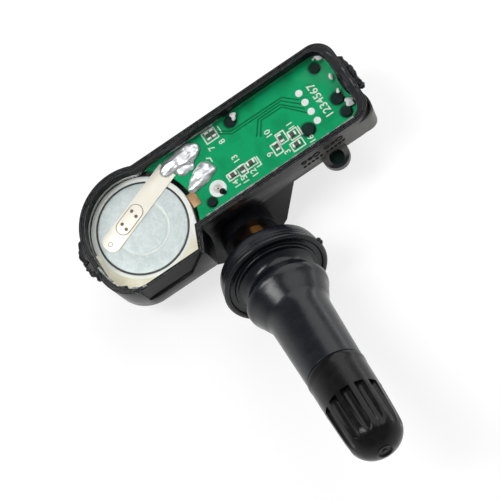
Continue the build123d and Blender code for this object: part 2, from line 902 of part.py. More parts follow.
with BuildPart() as core_plunger:
    with BuildSketch(across_valve(pin_start)):
        Circle(plunger_r)
        Circle(pin_r, mode=Mode.SUBTRACT)
    extrude(amount=plunger_t)
core_plunger.part.label = "core_plunger"
export_step(core_plunger.part, "parts/core_plunger.step")

with BuildPart() as plunger_washer:
    with BuildSketch(across_valve(plunger_end)):
        Circle(plunger_r)
        Circle(pin_r, mode=Mode.SUBTRACT)
    extrude(amount=washer_t)
plunger_washer.part.label = "plunger_washer"
export_step(plunger_washer.part, "parts/plunger_washer.step")

# Spring on the pin, between the pocket's floor and the collar
spring_end_room = 1.5 * spring_wire_r
spring_len = pin_collar_at - spring_pocket_from - 2 * spring_end_room
with BuildPart() as core_spring:
    with BuildLine():
        coil_line = Helix(
            pitch=spring_len / spring_turns,
            height=spring_len,
            radius=(pin_r + spring_pocket_r) / 2,
            center=axis_dir * (spring_pocket_from + spring_end_room),
            direction=axis_dir,
        )
    with BuildSketch(Plane(origin=coil_line @ 0, z_dir=coil_line % 0)):
        RegularPolygon(spring_wire_r, 6)
    sweep(path=coil_line, is_frenet=True)
core_spring.part.label = "core_spring"
export_step(core_spring.part, "parts/core_spring.step")

# Cap: fluted shell with a domed tip, and the seal inside it
cap_bore_r = thread_r + cap_thread_gap
dome_from = cap_end - cap_dome
dome_knee = (dome_from + cap_dome * sin(radians(45)), cap_tip_r * cos(radians(45)))
with BuildPart() as valve_cap:
    with BuildSketch(valve_section):
        with BuildLine():
            Polyline(
                (cap_end, cap_nose_r),
                (cap_end, gate_r),
                (cap_end - gate_depth, gate_r),
                (cap_end - gate_depth, 0),
                (cap_bore_end, 0),
                (cap_bore_end, cap_bore_r),
                (cap_from, cap_bore_r),
                (cap_from, cap_bead_r - cap_lip),
                (cap_from + cap_lip, cap_bead_r),
                (cap_from + cap_bead_w, cap_bead_r),
                (cap_from + cap_bead_w + cap_bead_run, cap_r),
                (dome_from, cap_tip_r),
            )
            ThreePointArc((dome_from, cap_tip_r), dome_knee, (cap_end, cap_nose_r))
        make_face()
    revolve(axis=valve_axis)
    with BuildSketch(across_valve(cap_from + flute_from)):
        with PolarLocations(cap_r - flute_depth + flute_r, cap_flutes):
            Circle(flute_r)
    extrude(amount=cap_end - cap_from - flute_from, mode=Mode.SUBTRACT)
valve_cap.part.label = "valve_cap"
export_step(valve_cap.part, "parts/valve_cap.step")

with BuildPart() as cap_seal:
    with BuildSketch(across_valve(cap_seal_from)):
        Circle(cap_bore_r)
    extrude(amount=cap_seal_t)
cap_seal.part.label = "cap_seal"
export_step(cap_seal.part, "parts/cap_seal.step")

# Screw that clamps the stem to the bracket from behind
with BuildPart() as mounting_screw:
    with BuildSketch(across_valve(plate_rear)):
        Circle(screw_r)
    extrude(amount=screw_len)
    with BuildSketch(across_valve(plate_rear)):
        Circle(screw_head_r)
    extrude(amount=-screw_head_t)
    with BuildSketch(across_valve(plate_rear - screw_head_t)):
        RegularPolygon(screw_recess_r, screw_lobes)
        with PolarLocations(screw_recess_r, screw_lobes, start_angle=180 / screw_lobes):
            Circle(screw_lobe_r, mode=Mode.SUBTRACT)
    extrude(amount=screw_recess_depth, mode=Mode.SUBTRACT)
mounting_screw.part.label = "mounting_screw"
export_step(mounting_screw.part, "parts/mounting_screw.step")
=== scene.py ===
import json
from math import atan2, cos, pi, radians, sin, sqrt

import bmesh
import bpy
from mathutils import Matrix, Vector, noise


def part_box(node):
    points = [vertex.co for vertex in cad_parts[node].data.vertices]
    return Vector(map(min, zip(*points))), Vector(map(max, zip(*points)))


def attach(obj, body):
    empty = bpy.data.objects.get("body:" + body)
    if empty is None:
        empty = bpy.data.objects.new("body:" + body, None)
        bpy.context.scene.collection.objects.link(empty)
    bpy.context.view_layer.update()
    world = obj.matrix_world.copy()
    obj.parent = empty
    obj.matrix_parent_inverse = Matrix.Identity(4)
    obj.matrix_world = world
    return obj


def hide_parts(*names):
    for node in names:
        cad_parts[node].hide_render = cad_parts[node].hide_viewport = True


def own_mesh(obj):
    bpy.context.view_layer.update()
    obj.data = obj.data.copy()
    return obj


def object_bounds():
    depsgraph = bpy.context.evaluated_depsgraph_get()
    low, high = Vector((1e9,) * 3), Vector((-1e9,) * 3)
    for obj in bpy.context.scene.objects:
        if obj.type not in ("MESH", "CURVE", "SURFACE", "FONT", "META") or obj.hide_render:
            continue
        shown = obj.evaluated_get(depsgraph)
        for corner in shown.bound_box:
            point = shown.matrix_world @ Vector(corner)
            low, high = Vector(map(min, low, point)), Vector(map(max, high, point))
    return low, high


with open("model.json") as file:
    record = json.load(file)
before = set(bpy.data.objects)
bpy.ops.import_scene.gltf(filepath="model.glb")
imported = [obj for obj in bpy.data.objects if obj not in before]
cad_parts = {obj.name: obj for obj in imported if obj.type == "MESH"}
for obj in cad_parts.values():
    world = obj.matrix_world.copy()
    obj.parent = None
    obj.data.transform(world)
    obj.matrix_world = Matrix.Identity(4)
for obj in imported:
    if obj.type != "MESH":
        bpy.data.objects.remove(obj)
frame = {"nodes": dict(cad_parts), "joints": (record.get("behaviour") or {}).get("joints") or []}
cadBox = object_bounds()
print("frame loaded:", len(frame["nodes"]), "nodes")

scene = bpy.context.scene
scene.view_settings.view_transform = "Standard"
mm = 0.001
mergeGap = 1e-7  # corners of a CAD node closer than this become one
seamGap = 1e-8  # the same where a turned shape closes
flatAngle = radians(0.5)  # faces that lie this flat become one

capJoint = next(joint for joint in frame["joints"] if joint["name"] == "cap_unscrew")
crossDir = Vector((1, 0, 0))
valveDir = Vector(capJoint["axis"]).normalized()  # along the valve, away from the body
valveUp = valveDir.cross(crossDir).normalized()
valveTurn = Matrix((crossDir, valveUp, valveDir)).transposed().to_4x4()  # stands local Z on the valve
cellLow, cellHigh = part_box("battery_can")
cellX = (cellLow.x + cellHigh.x) / 2
cellY = (cellLow.y + cellHigh.y) / 2
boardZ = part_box("circuit_board")[1].z
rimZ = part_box("housing")[1].z
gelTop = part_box("potting_gel")[1].z


def onBoard(x, y, lift=0.0):  # millimetres from the battery's centre, lifted off the board's top
    return Vector((cellX + x * mm, cellY + y * mm, boardZ + lift * mm))


def onRim(x, y, lift=0.0):  # the same, lifted off the open rim
    return Vector((cellX + x * mm, cellY + y * mm, rimZ + lift * mm))


def addPiece(name, bm, finishes, body="root", nodes=(), smooth=35):
    mesh = bpy.data.meshes.new(name)
    bm.to_mesh(mesh)
    bm.free()
    for finish in finishes:
        mesh.materials.append(finish)
    mesh.shade_smooth()
    mesh.set_sharp_from_angle(angle=radians(smooth))
    piece = bpy.data.objects.new(name, mesh)
    scene.collection.objects.link(piece)
    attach(piece, body)
    if nodes:
        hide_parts(*nodes)
    return piece


def mergedCopy(node, flatten=True):  # joined copy of a CAD node, flat faces made whole
    bm = bmesh.new()
    bm.from_mesh(frame["nodes"][node].data)
    bmesh.ops.remove_doubles(bm, verts=bm.verts, dist=mergeGap)
    if flatten:
        bmesh.ops.dissolve_limit(bm, angle_limit=flatAngle, verts=bm.verts, edges=bm.edges)
    return bm


def softenEdges(bm, width, sharper=35, segments=2):
    edges = [e for e in bm.edges if e.is_manifold and e.calc_face_angle(0) > radians(sharper)]
    bmesh.ops.bevel(bm, geom=edges, offset=width * mm, offset_type="OFFSET", segments=segments,
                    profile=0.5, affect="EDGES", clamp_overlap=True, material=-1)


def addSoftened(name, node, finish, edge, body="root", segments=2, smooth=35):  # a CAD node, softened
    bm = mergedCopy(node)
    softenEdges(bm, edge, segments=segments)
    addPiece(name, bm, [finish], body=body, nodes=[node], smooth=smooth)


reachShare = 0.48  # a rounded corner stops short of the middle of its runs


def roundedLine(points, steps=5):  # points are (along, radius, rounding); corners become short curves
    line = []
    for index, (along, radius, rounding) in enumerate(points):
        here = Vector((along, radius))
        if rounding == 0 or index in (0, len(points) - 1):
            line.append(here)
            continue
        before = Vector(points[index - 1][:2]) - here
        after = Vector(points[index + 1][:2]) - here
        start = here + before.normalized() * min(rounding, before.length * reachShare)
        end = here + after.normalized() * min(rounding, after.length * reachShare)
        for step in range(steps + 1):
            t = step / steps
            line.append(start * (1 - t) ** 2 + here * (2 * t * (1 - t)) + end * t ** 2)
    return line


def spunPiece(line, steps):  # line of (along, radius) millimetres turned about local Z
    bm = bmesh.new()
    verts = [bm.verts.new((radius * mm, 0, along * mm)) for along, radius in line]
    edges = [bm.edges.new(pair) for pair in zip(verts, verts[1:])]
    bmesh.ops.spin(bm, geom=verts + edges, cent=(0, 0, 0), axis=(0, 0, 1), angle=2 * pi,
                   steps=steps, use_merge=True)
    bmesh.ops.remove_doubles(bm, verts=bm.verts, dist=seamGap)
    bmesh.ops.recalc_face_normals(bm, faces=bm.faces)
    return bm


def joinInto(bm, other):  # other's faces move into bm
    mesh = bpy.data.meshes.new("joined")
    other.to_mesh(mesh)
    other.free()
    bm.from_mesh(mesh)
    bpy.data.meshes.remove(mesh)


beadLook = {"sides": 8, "rows": 5, "closedShare": 0.1}


def wirePath(points, radius, flat=1.0):  # round bead along points, flattened in Z
    bm = bmesh.new()
    squeeze = Matrix.Diagonal((1, 1, flat, 1))
    closed = (points[-1] - points[0]).length < radius * beadLook["closedShare"]
    for point in points[:-1] if closed else points:
        bmesh.ops.create_uvsphere(bm, u_segments=beadLook["sides"], v_segments=beadLook["rows"],
                                  radius=radius, matrix=Matrix.Translation(point) @ squeeze)
    for start, end in zip(points, points[1:]):
        run = end - start
        turn = run.to_track_quat("Z", "Y").to_matrix().to_4x4()
        bmesh.ops.create_cone(bm, cap_ends=True, segments=beadLook["sides"], radius1=radius, radius2=radius,
                              depth=run.length, matrix=Matrix.Translation((start + end) / 2) @ squeeze @ turn)
    return bm


def relax(bm, rounds):  # evens out a skin
    for _ in range(rounds):
        bmesh.ops.smooth_vert(bm, verts=bm.verts, factor=0.5,
                              use_axis_x=True, use_axis_y=True, use_axis_z=True)


def takeMesh(holder):  # the finished mesh of a helper object, which is then removed
    scene.collection.objects.link(holder)
    mesh = bpy.data.meshes.new_from_object(holder.evaluated_get(bpy.context.evaluated_depsgraph_get()))
    bpy.data.objects.remove(holder)
    return mesh


def fusedLobes(lobes, voxel, rounds):  # lobes are (centre, radius, height share), melted into one skin
    bm = bmesh.new()
    for centre, radius, height in lobes:
        place = Matrix.Translation(centre) @ Matrix.Diagonal((1, 1, height, 1))
        bmesh.ops.create_icosphere(bm, subdivisions=3, radius=radius * mm, matrix=place)
    mesh = bpy.data.meshes.new("lobes")
    bm.to_mesh(mesh)
    bm.clear()
    lump = bpy.data.objects.new("lobes", mesh)
    remesh = lump.modifiers.new("remesh", "REMESH")
    remesh.mode = "VOXEL"
    remesh.voxel_size = voxel * mm
    skin = takeMesh(lump)
    bm.from_mesh(skin)
    bpy.data.meshes.remove(mesh)
    bpy.data.meshes.remove(skin)
    relax(bm, rounds)
    bm.normal_update()
    return bm


roughLook = {"shiftY": 0.7, "shiftZ": 1.3, "fineShare": 0.45, "fineScale": 2.3}


def roughen(bm, depth, scale, seed, stretch=1.0):  # pushes each point along its normal by layered noise
    for vert in bm.verts:
        spot = vert.co / mm * scale + Vector((seed, seed * roughLook["shiftY"], seed * roughLook["shiftZ"]))
        spot.x /= stretch
        push = noise.noise(spot) + roughLook["fineShare"] * noise.noise(spot * roughLook["fineScale"])
        vert.co += vert.normal * push * depth * mm
    bm.normal_update()


def alongRun(points, gap):  # even places along a run of points
    places = []
    for start, end in zip(points, points[1:]):
        run = Vector(end) - Vector(start)
        count = max(1, round(run.length / gap))
        places += [Vector(start) + run * (index / count) for index in range(count)]
    return places + [Vector(points[-1])]


def startFinish(name):  # a finish whose patterns read the piece's place in millimetres
    finish = bpy.data.materials.new(name)
    finish.use_nodes = True
    tree = finish.node_tree
    coords = tree.nodes.new("ShaderNodeTexCoord")
    mapping = tree.nodes.new("ShaderNodeMapping")
    mapping.inputs["Scale"].default_value = (1 / mm, 1 / mm, 1 / mm)
    tree.links.new(coords.outputs["Object"], mapping.inputs["Vector"])
    return finish, tree, tree.nodes["Principled BSDF"], mapping.outputs["Vector"]


# detail and roughness of each pattern
noiseKinds = {"soft": (3, 0.55), "cloud": (4, 0.6), "grain": (2, 0.5), "scuff": (6, 0.7), "fleck": (8, 0.75)}


def addNoise(tree, vector, scale, kind="soft"):
    node = tree.nodes.new("ShaderNodeTexNoise")
    detail, roughness = noiseKinds[kind]
    node.inputs["Scale"].default_value = scale
    node.inputs["Detail"].default_value = detail
    node.inputs["Roughness"].default_value = roughness
    tree.links.new(vector, node.inputs["Vector"])
    return node.outputs["Fac"]


def addRamp(tree, value, stops):  # stops are (place, colour or grey)
    node = tree.nodes.new("ShaderNodeValToRGB")
    ramp = node.color_ramp
    while len(ramp.elements) < len(stops):
        ramp.elements.new(0.5)
    for element, (place, colour) in zip(ramp.elements, stops):
        element.position = place
        element.color = (*colour, 1) if isinstance(colour, tuple) else (colour, colour, colour, 1)
    tree.links.new(value, node.inputs["Fac"])
    return node.outputs["Color"]


def addBlend(tree, value, span, first, second):  # turns from first to second over a span of the value
    return addRamp(tree, value, list(zip(span, (first, second))))


def addMix(tree, factor, first, second):  # second shows where the factor is 1
    node = tree.nodes.new("ShaderNodeMix")
    node.data_type = "RGBA"
    tree.links.new(factor, node.inputs["Factor"])
    for value, socket in ((first, node.inputs["A"]), (second, node.inputs["B"])):
        if isinstance(value, tuple):
            socket.default_value = (*value, 1)
        else:
            tree.links.new(value, socket)
    return node.outputs["Result"]


def addPatch(tree, centre, reach):  # 1 at a place in the frame, fading to 0 at its reach
    coords = tree.nodes.new("ShaderNodeTexCoord")
    mapping = tree.nodes.new("ShaderNodeMapping")
    mapping.vector_type = "TEXTURE"
    mapping.inputs["Location"].default_value = centre
    mapping.inputs["Scale"].default_value = [size * mm for size in reach]
    ball = tree.nodes.new("ShaderNodeTexGradient")
    ball.gradient_type = "SPHERICAL"
    tree.links.new(coords.outputs["Object"], mapping.inputs["Vector"])
    tree.links.new(mapping.outputs["Vector"], ball.inputs["Vector"])
    return ball.outputs["Fac"]


def addBump(tree, height, distance, under=None):
    node = tree.nodes.new("ShaderNodeBump")
    node.inputs["Distance"].default_value = distance * mm
    tree.links.new(height, node.inputs["Height"])
    if under is not None:
        tree.links.new(under, node.inputs["Normal"])
    return node.outputs["Normal"]


# where on its pattern each value turns from the first to the second
blackSpans = {"tone": (0.32, 0.72), "gloss": (0.3, 0.75), "scuff": (0.62, 0.78), "floorSheen": (0.0, 0.5),
              "sheenGrain": (0.3, 0.7)}


# dark polymer: cloudy tone and gloss, dusty scuffs, fine grain, shallow waviness
def mouldedBlack(name, look):
    finish, tree, shader, place = startFinish(name)
    cloud = addNoise(tree, place, look["cloudScale"], "cloud")
    grain = addNoise(tree, place, look["grainScale"], "grain")
    scuffs = addNoise(tree, place, look["scuffScale"], "scuff")
    tone = addBlend(tree, cloud, blackSpans["tone"], look["dark"], look["pale"])
    tone = addMix(tree, addBlend(tree, scuffs, blackSpans["scuff"], 0.0, look["scuff"]), tone, look["dust"])
    gloss = addBlend(tree, cloud, blackSpans["gloss"], look["smooth"], look["rough"])
    # painted reflection: lighter, grainy patches stand in for the lit floor mirrored in the wall
    for centre, reach in look.get("floorSheen", []):
        patch = addBlend(tree, addPatch(tree, centre, reach), blackSpans["floorSheen"], 0.0, 1.0)
        sheenGrain = addBlend(tree, grain, blackSpans["sheenGrain"], look["floorSheenDark"], look["floorSheenPale"])
        tone = addMix(tree, patch, tone, sheenGrain)
        gloss = addMix(tree, patch, gloss, (look["floorSheenRough"],) * 3)
    tree.links.new(tone, shader.inputs["Base Color"])
    tree.links.new(gloss, shader.inputs["Roughness"])
    shader.inputs["Specular IOR Level"].default_value = look["shine"]
    wave = addBump(tree, cloud, look["waveDepth"])
    tree.links.new(addBump(tree, grain, look["grainDepth"], under=wave), shader.inputs["Normal"])
    return finish


metalSpans = {"tone": (0.3, 0.7), "gloss": (0.25, 0.75), "fleck": (0.46, 0.66)}
fleckShare = 0.75


def metalFinish(name, look):  # metal with soft stains and fine scratches
    finish, tree, shader, place = startFinish(name)
    stain = addNoise(tree, place, look["stainScale"], "cloud")
    grain = addNoise(tree, place, look["grainScale"], "grain")
    tone = addBlend(tree, stain, metalSpans["tone"], look["dark"], look["pale"])
    if "fleck" in look:
        flecks = addNoise(tree, place, look["fleckScale"], "fleck")
        tone = addMix(tree, addBlend(tree, flecks, metalSpans["fleck"], 0.0, fleckShare), tone, look["fleck"])
    tree.links.new(tone, shader.inputs["Base Color"])
    gloss = addBlend(tree, grain, metalSpans["gloss"], look["smooth"], look["rough"])
    tree.links.new(gloss, shader.inputs["Roughness"])
    shader.inputs["Metallic"].default_value = look["metal"]
    tree.links.new(addBump(tree, grain, look["grainDepth"]), shader.inputs["Normal"])
    return finish


plainSpan = (0.3, 0.7)


def plainFinish(name, dark, pale, gloss, scale, depth, shine):
    finish, tree, shader, place = startFinish(name)
    shader.inputs["Specular IOR Level"].default_value = shine
    cloud = addNoise(tree, place, scale)
    tree.links.new(addBlend(tree, cloud, plainSpan, dark, pale), shader.inputs["Base Color"])
    shader.inputs["Roughness"].default_value = gloss
    tree.links.new(addBump(tree, cloud, depth), shader.inputs["Normal"])
    return finish


blackLooks = {
    "housing": {"dark": (0.0042, 0.0045, 0.006), "pale": (0.01, 0.0105, 0.013), "dust": (0.05, 0.05, 0.052),
                "scuff": 0.35, "scuffScale": 1.1, "smooth": 0.24, "rough": 0.4, "shine": 0.22,
                "cloudScale": 0.35, "grainScale": 5.0, "waveDepth": 0.05, "grainDepth": 0.012,
                # painted reflection of the floor along the lower front wall
                "floorSheen": [(onRim(43.0, -7.4, -5.2), (20.0, 2.6, 5.2))],
                "floorSheenDark": (0.11, 0.107, 0.103), "floorSheenPale": (0.25, 0.243, 0.234), "floorSheenRough": 0.45},
    "rubber": {"dark": (0.0025, 0.0036, 0.0066), "pale": (0.006, 0.0076, 0.0115),
               "dust": (0.03, 0.028, 0.026), "scuff": 0.25, "scuffScale": 0.7,
               "smooth": 0.2, "rough": 0.33, "shine": 0.38,
               "cloudScale": 0.42, "grainScale": 4.0, "waveDepth": 0.03, "grainDepth": 0.005},
    "cap": {"dark": (0.003, 0.003, 0.0034), "pale": (0.008, 0.008, 0.0085), "dust": (0.03, 0.03, 0.03),
            "scuff": 0.3, "scuffScale": 1.4, "smooth": 0.16, "rough": 0.26, "shine": 0.22,
            "cloudScale": 0.6, "grainScale": 5.5, "waveDepth": 0.02, "grainDepth": 0.016},
    "sensor": {"dark": (0.01, 0.01, 0.01), "pale": (0.02, 0.02, 0.02), "dust": (0.06, 0.06, 0.06),
               "scuff": 0.2, "scuffScale": 2.0, "smooth": 0.5, "rough": 0.6, "shine": 0.4,
               "cloudScale": 0.8, "grainScale": 9.0, "waveDepth": 0.005, "grainDepth": 0.01},
    "ferrite": {"dark": (0.03, 0.03, 0.034), "pale": (0.06, 0.06, 0.065), "dust": (0.12, 0.12, 0.12),
                "scuff": 0.3, "scuffScale": 2.5, "smooth": 0.5, "rough": 0.7, "shine": 0.4,
                "cloudScale": 0.9, "grainScale": 8.0, "waveDepth": 0.005, "grainDepth": 0.012},
    "softRubber": {"dark": (0.012, 0.012, 0.013), "pale": (0.03, 0.03, 0.032), "dust": (0.08, 0.08, 0.08),
                   "scuff": 0.2, "scuffScale": 2.0, "smooth": 0.55, "rough": 0.7, "shine": 0.35,
                   "cloudScale": 0.9, "grainScale": 7.0, "waveDepth": 0.005, "grainDepth": 0.01},
}
metalLooks = {
    "cellCap": {"dark": (0.56, 0.62, 0.65), "pale": (0.7, 0.75, 0.77), "smooth": 0.3, "rough": 0.42,
                "metal": 0.1, "stainScale": 0.35, "grainScale": 2.2, "grainDepth": 0.0015,
                "fleck": (0.84, 0.87, 0.88), "fleckScale": 1.3},
    "cellCan": {"dark": (0.8, 0.81, 0.82), "pale": (0.92, 0.91, 0.88), "smooth": 0.26, "rough": 0.38,
                "metal": 0.1, "stainScale": 0.14, "grainScale": 2.5, "grainDepth": 0.0015},
    "tab": {"dark": (0.92, 0.86, 0.76), "pale": (0.97, 0.93, 0.85), "smooth": 0.32, "rough": 0.45,
            "metal": 0.15, "stainScale": 0.3, "grainScale": 3.0, "grainDepth": 0.002},
    "sideTab": {"dark": (0.25, 0.13, 0.055), "pale": (0.48, 0.29, 0.15), "smooth": 0.35, "rough": 0.5,
                "metal": 0.4, "stainScale": 0.7, "grainScale": 4.0, "grainDepth": 0.004},
    "solder": {"dark": (0.66, 0.68, 0.71), "pale": (0.93, 0.94, 0.95), "smooth": 0.26, "rough": 0.36,
               "metal": 0.75, "stainScale": 0.7, "grainScale": 1.6, "grainDepth": 0.003},
    "tin": {"dark": (0.76, 0.77, 0.77), "pale": (0.93, 0.93, 0.92), "smooth": 0.3, "rough": 0.45,
            "metal": 0.1, "stainScale": 0.8, "grainScale": 4.0, "grainDepth": 0.004},
    "brass": {"dark": (0.26, 0.12, 0.035), "pale": (0.62, 0.36, 0.11), "smooth": 0.22, "rough": 0.42,
              "metal": 1.0, "stainScale": 0.5, "grainScale": 4.0, "grainDepth": 0.006},
    "steel": {"dark": (0.38, 0.39, 0.4), "pale": (0.6, 0.61, 0.62), "smooth": 0.25, "rough": 0.4,
              "metal": 1.0, "stainScale": 0.5, "grainScale": 4.0, "grainDepth": 0.006},
    "copper": {"dark": (0.4, 0.14, 0.05), "pale": (0.62, 0.27, 0.11), "smooth": 0.25, "rough": 0.4,
               "metal": 1.0, "stainScale": 0.9, "grainScale": 6.0, "grainDepth": 0.01},
}
plainLooks = {  # dark, pale, roughness, scale, depth, shine
    "boardTrace": ((0.0005, 0.15, 0.055), (0.0008, 0.21, 0.075), 0.5, 1.5, 0.003, 0.05),
    "boardInk": ((0.72, 0.78, 0.72), (0.86, 0.9, 0.84), 0.5, 4.0, 0.004, 0.1),
    "chipCeramic": ((0.02, 0.016, 0.012), (0.1, 0.08, 0.058), 0.45, 1.6, 0.008, 0.5),
    "glintWhite": ((0.66, 0.68, 0.66), (0.9, 0.9, 0.88), 0.16, 1.2, 0.015, 0.5),
    "gleamGrey": ((0.13, 0.16, 0.15), (0.4, 0.43, 0.41), 0.22, 1.6, 0.02, 0.5),
    "circleHighlight": ((0.8, 0.83, 0.84), (0.93, 0.94, 0.94), 0.35, 0.5, 0.002, 0.5),
    "weldBrownAndShade": ((0.1, 0.06, 0.025), (0.22, 0.14, 0.06), 0.45, 3.0, 0.006, 0.5),
    "insulator": ((0.012, 0.013, 0.015), (0.04, 0.04, 0.042), 0.4, 1.5, 0.006, 0.5),
    "padCore": ((0.45, 0.38, 0.37), (0.75, 0.7, 0.69), 0.4, 1.8, 0.01, 0.5),
    "viaDark": ((0.004, 0.004, 0.004), (0.02, 0.02, 0.018), 0.5, 2.0, 0.01, 0.15),
    "edgeHighlight": ((0.012, 0.012, 0.013), (0.6, 0.59, 0.57), 0.3, 1.6, 0.01, 0.5),
    "pegDark": ((0.005, 0.016, 0.014), (0.01, 0.032, 0.027), 0.6, 0.9, 0.01, 0.1),
}
blacks = {name: mouldedBlack(name + "Black", look) for name, look in blackLooks.items()}
metals = {name: metalFinish(name + "Metal", look) for name, look in metalLooks.items()}
plains = {name: plainFinish(name, *look) for name, look in plainLooks.items()}

boardLook = {"green": (0.0008, 0.39, 0.155), "deep": (0.0006, 0.31, 0.12), "toneSpan": (0.36, 0.54),
             "shade": (0.0006, 0.05, 0.028), "shadeReach": 0.55, "shadeSpan": (0.0, 0.28),
             "gloss": 0.5, "shine": 0.05, "cloudScale": 0.28, "weaveScale": 3.2, "weaveDepth": 0.004,
             "spread": 0.14, "edge": 0.05}


def boardFinish(spots, sizes):  # green mask with a faint weave, darker round the pegs
    finish, tree, shader, place = startFinish("boardMask")
    cloud = addNoise(tree, place, boardLook["cloudScale"], "cloud")
    weave = addNoise(tree, place, boardLook["weaveScale"], "grain")
    tone = addBlend(tree, cloud, boardLook["toneSpan"], boardLook["deep"], boardLook["green"])
    for spot, size in zip(spots, sizes):
        patch = addPatch(tree, (spot.x, spot.y, boardZ), (size / mm + boardLook["shadeReach"],) * 3)
        tone = addMix(tree, addBlend(tree, patch, boardLook["shadeSpan"], 0.0, 1.0), tone, boardLook["shade"])
    tree.links.new(tone, shader.inputs["Base Color"])
    shader.inputs["Roughness"].default_value = boardLook["gloss"]
    shader.inputs["Specular IOR Level"].default_value = boardLook["shine"]
    tree.links.new(addBump(tree, weave, boardLook["weaveDepth"]), shader.inputs["Normal"])
    return finish


shadedNeckLook = {"neckShade": (0.012, 0.009, 0.008), "neckShadeBrown": (0.05, 0.024, 0.01), "brass": (0.55, 0.25, 0.07),
               "toneSpan": (0.35, 0.75), "stainScale": 0.9, "depth": 0.01, "metal": 0.85,
               "smooth": 0.28, "rough": 0.5, "glossSpan": (0.3, 0.7),
               "patch": (1.8, 10.5, -0.7), "reach": (1.8, 2.3, 2.2), "brassShowSpan": (0.25, 0.6)}


def shadedNeckFinish():  # painted shade: the stem's neck is dark brown all round, as in the shade of its recess, but for one patch of plain brass
    finish, tree, shader, place = startFinish("shadedNeckBrass")
    stain = addNoise(tree, place, shadedNeckLook["stainScale"], "cloud")
    tone = addBlend(tree, stain, shadedNeckLook["toneSpan"], shadedNeckLook["neckShade"], shadedNeckLook["neckShadeBrown"])
    patch = addPatch(tree, [part * mm for part in shadedNeckLook["patch"]], shadedNeckLook["reach"])
    brassShows = addBlend(tree, patch, shadedNeckLook["brassShowSpan"], 0.0, 1.0)
    gloss = addBlend(tree, stain, shadedNeckLook["glossSpan"], shadedNeckLook["smooth"], shadedNeckLook["rough"])
    tree.links.new(addMix(tree, brassShows, tone, shadedNeckLook["brass"]), shader.inputs["Base Color"])
    shader.inputs["Metallic"].default_value = shadedNeckLook["metal"]
    tree.links.new(gloss, shader.inputs["Roughness"])
    tree.links.new(addBump(tree, stain, shadedNeckLook["depth"]), shader.inputs["Normal"])
    return finish


clearLook = {"tint": (0.985, 0.995, 0.985), "index": 1.25, "roughness": 0.05,
             "ripple": 0.015, "rippleScale": 0.45}


def clearFinish():  # poured resin: sees through, mirrors by its angle
    finish, tree, shader, place = startFinish("clearResin")
    normal = addBump(tree, addNoise(tree, place, clearLook["rippleScale"], "grain"), clearLook["ripple"])
    tree.nodes.remove(shader)
    clear = tree.nodes.new("ShaderNodeBsdfTransparent")
    clear.inputs["Color"].default_value = (*clearLook["tint"], 1)
    mirror = tree.nodes.new("ShaderNodeBsdfGlossy")
    mirror.inputs["Roughness"].default_value = clearLook["roughness"]
    tree.links.new(normal, mirror.inputs["Normal"])
    angle = tree.nodes.new("ShaderNodeFresnel")
    angle.inputs["IOR"].default_value = clearLook["index"]
    tree.links.new(normal, angle.inputs["Normal"])
    mix = tree.nodes.new("ShaderNodeMixShader")
    tree.links.new(angle.outputs["Fac"], mix.inputs["Fac"])
    tree.links.new(clear.outputs["BSDF"], mix.inputs[1])
    tree.links.new(mirror.outputs["BSDF"], mix.inputs[2])
    tree.links.new(mix.outputs["Shader"], tree.nodes["Material Output"].inputs["Surface"])
    return finish


fillerTones = {"dark": (0.84, 0.79, 0.6), "pale": (0.95, 0.91, 0.76), "toneSpan": (0.3, 0.7),
               "white": (0.92, 0.93, 0.93), "side": (9.4, -2.6), "reach": (5.0, 6.0, 5.0),
               "sideSpan": (0.0, 0.5), "cloudScale": 0.4, "gloss": 0.34, "depth": 0.01}


def fillerFinish():  # cream in front of the cell, whiter beside it
    finish, tree, shader, place = startFinish("creamFiller")
    cloud = addNoise(tree, place, fillerTones["cloudScale"])
    tone = addBlend(tree, cloud, fillerTones["toneSpan"], fillerTones["dark"], fillerTones["pale"])
    patch = addPatch(tree, onBoard(*fillerTones["side"]), fillerTones["reach"])
    side = addBlend(tree, patch, fillerTones["sideSpan"], 0.0, 1.0)
    tree.links.new(addMix(tree, side, tone, fillerTones["white"]), shader.inputs["Base Color"])
    shader.inputs["Roughness"].default_value = fillerTones["gloss"]
    tree.links.new(addBump(tree, cloud, fillerTones["depth"]), shader.inputs["Normal"])
    return finish


creamFiller = fillerFinish()
shadedNeckBrass = shadedNeckFinish()
clearResin = clearFinish()
print("finishes made")

# housing, its pegs and the painted highlights on its rim's edges
housingLook = {"edge": 0.12, "pegProud": 0.35, "pegReach": 1.5, "pegArea": 1.0, "pegFacing": 0.9,
               "pegLevel": 0.02, "pegSlack": 0.01, "earHole": (37.2, -8.65), "earHoleRadius": 1.5,
               "earTop": -7.3, "rimEdge": 0.3, "highlightFacing": (0.2, 0.97)}
housingBm = mergedCopy("housing")
softenEdges(housingBm, housingLook["edge"])
pegTop = boardZ + housingLook["pegProud"] * mm
pegTops = []
for face in housingBm.faces:
    offLevel = abs(face.calc_center_median().z - pegTop)
    isLarge = face.calc_area() > housingLook["pegArea"] * mm ** 2
    if face.normal.z > housingLook["pegFacing"] and isLarge and offLevel < housingLook["pegLevel"] * mm:
        pegTops.append(face)
pegSpots = [face.calc_center_median() for face in pegTops]
pegSizes = [max((vert.co - spot).length for vert in face.verts) for face, spot in zip(pegTops, pegSpots)]
earSpot = onRim(*housingLook["earHole"])
highlightFrom, highlightTo = housingLook["highlightFacing"]
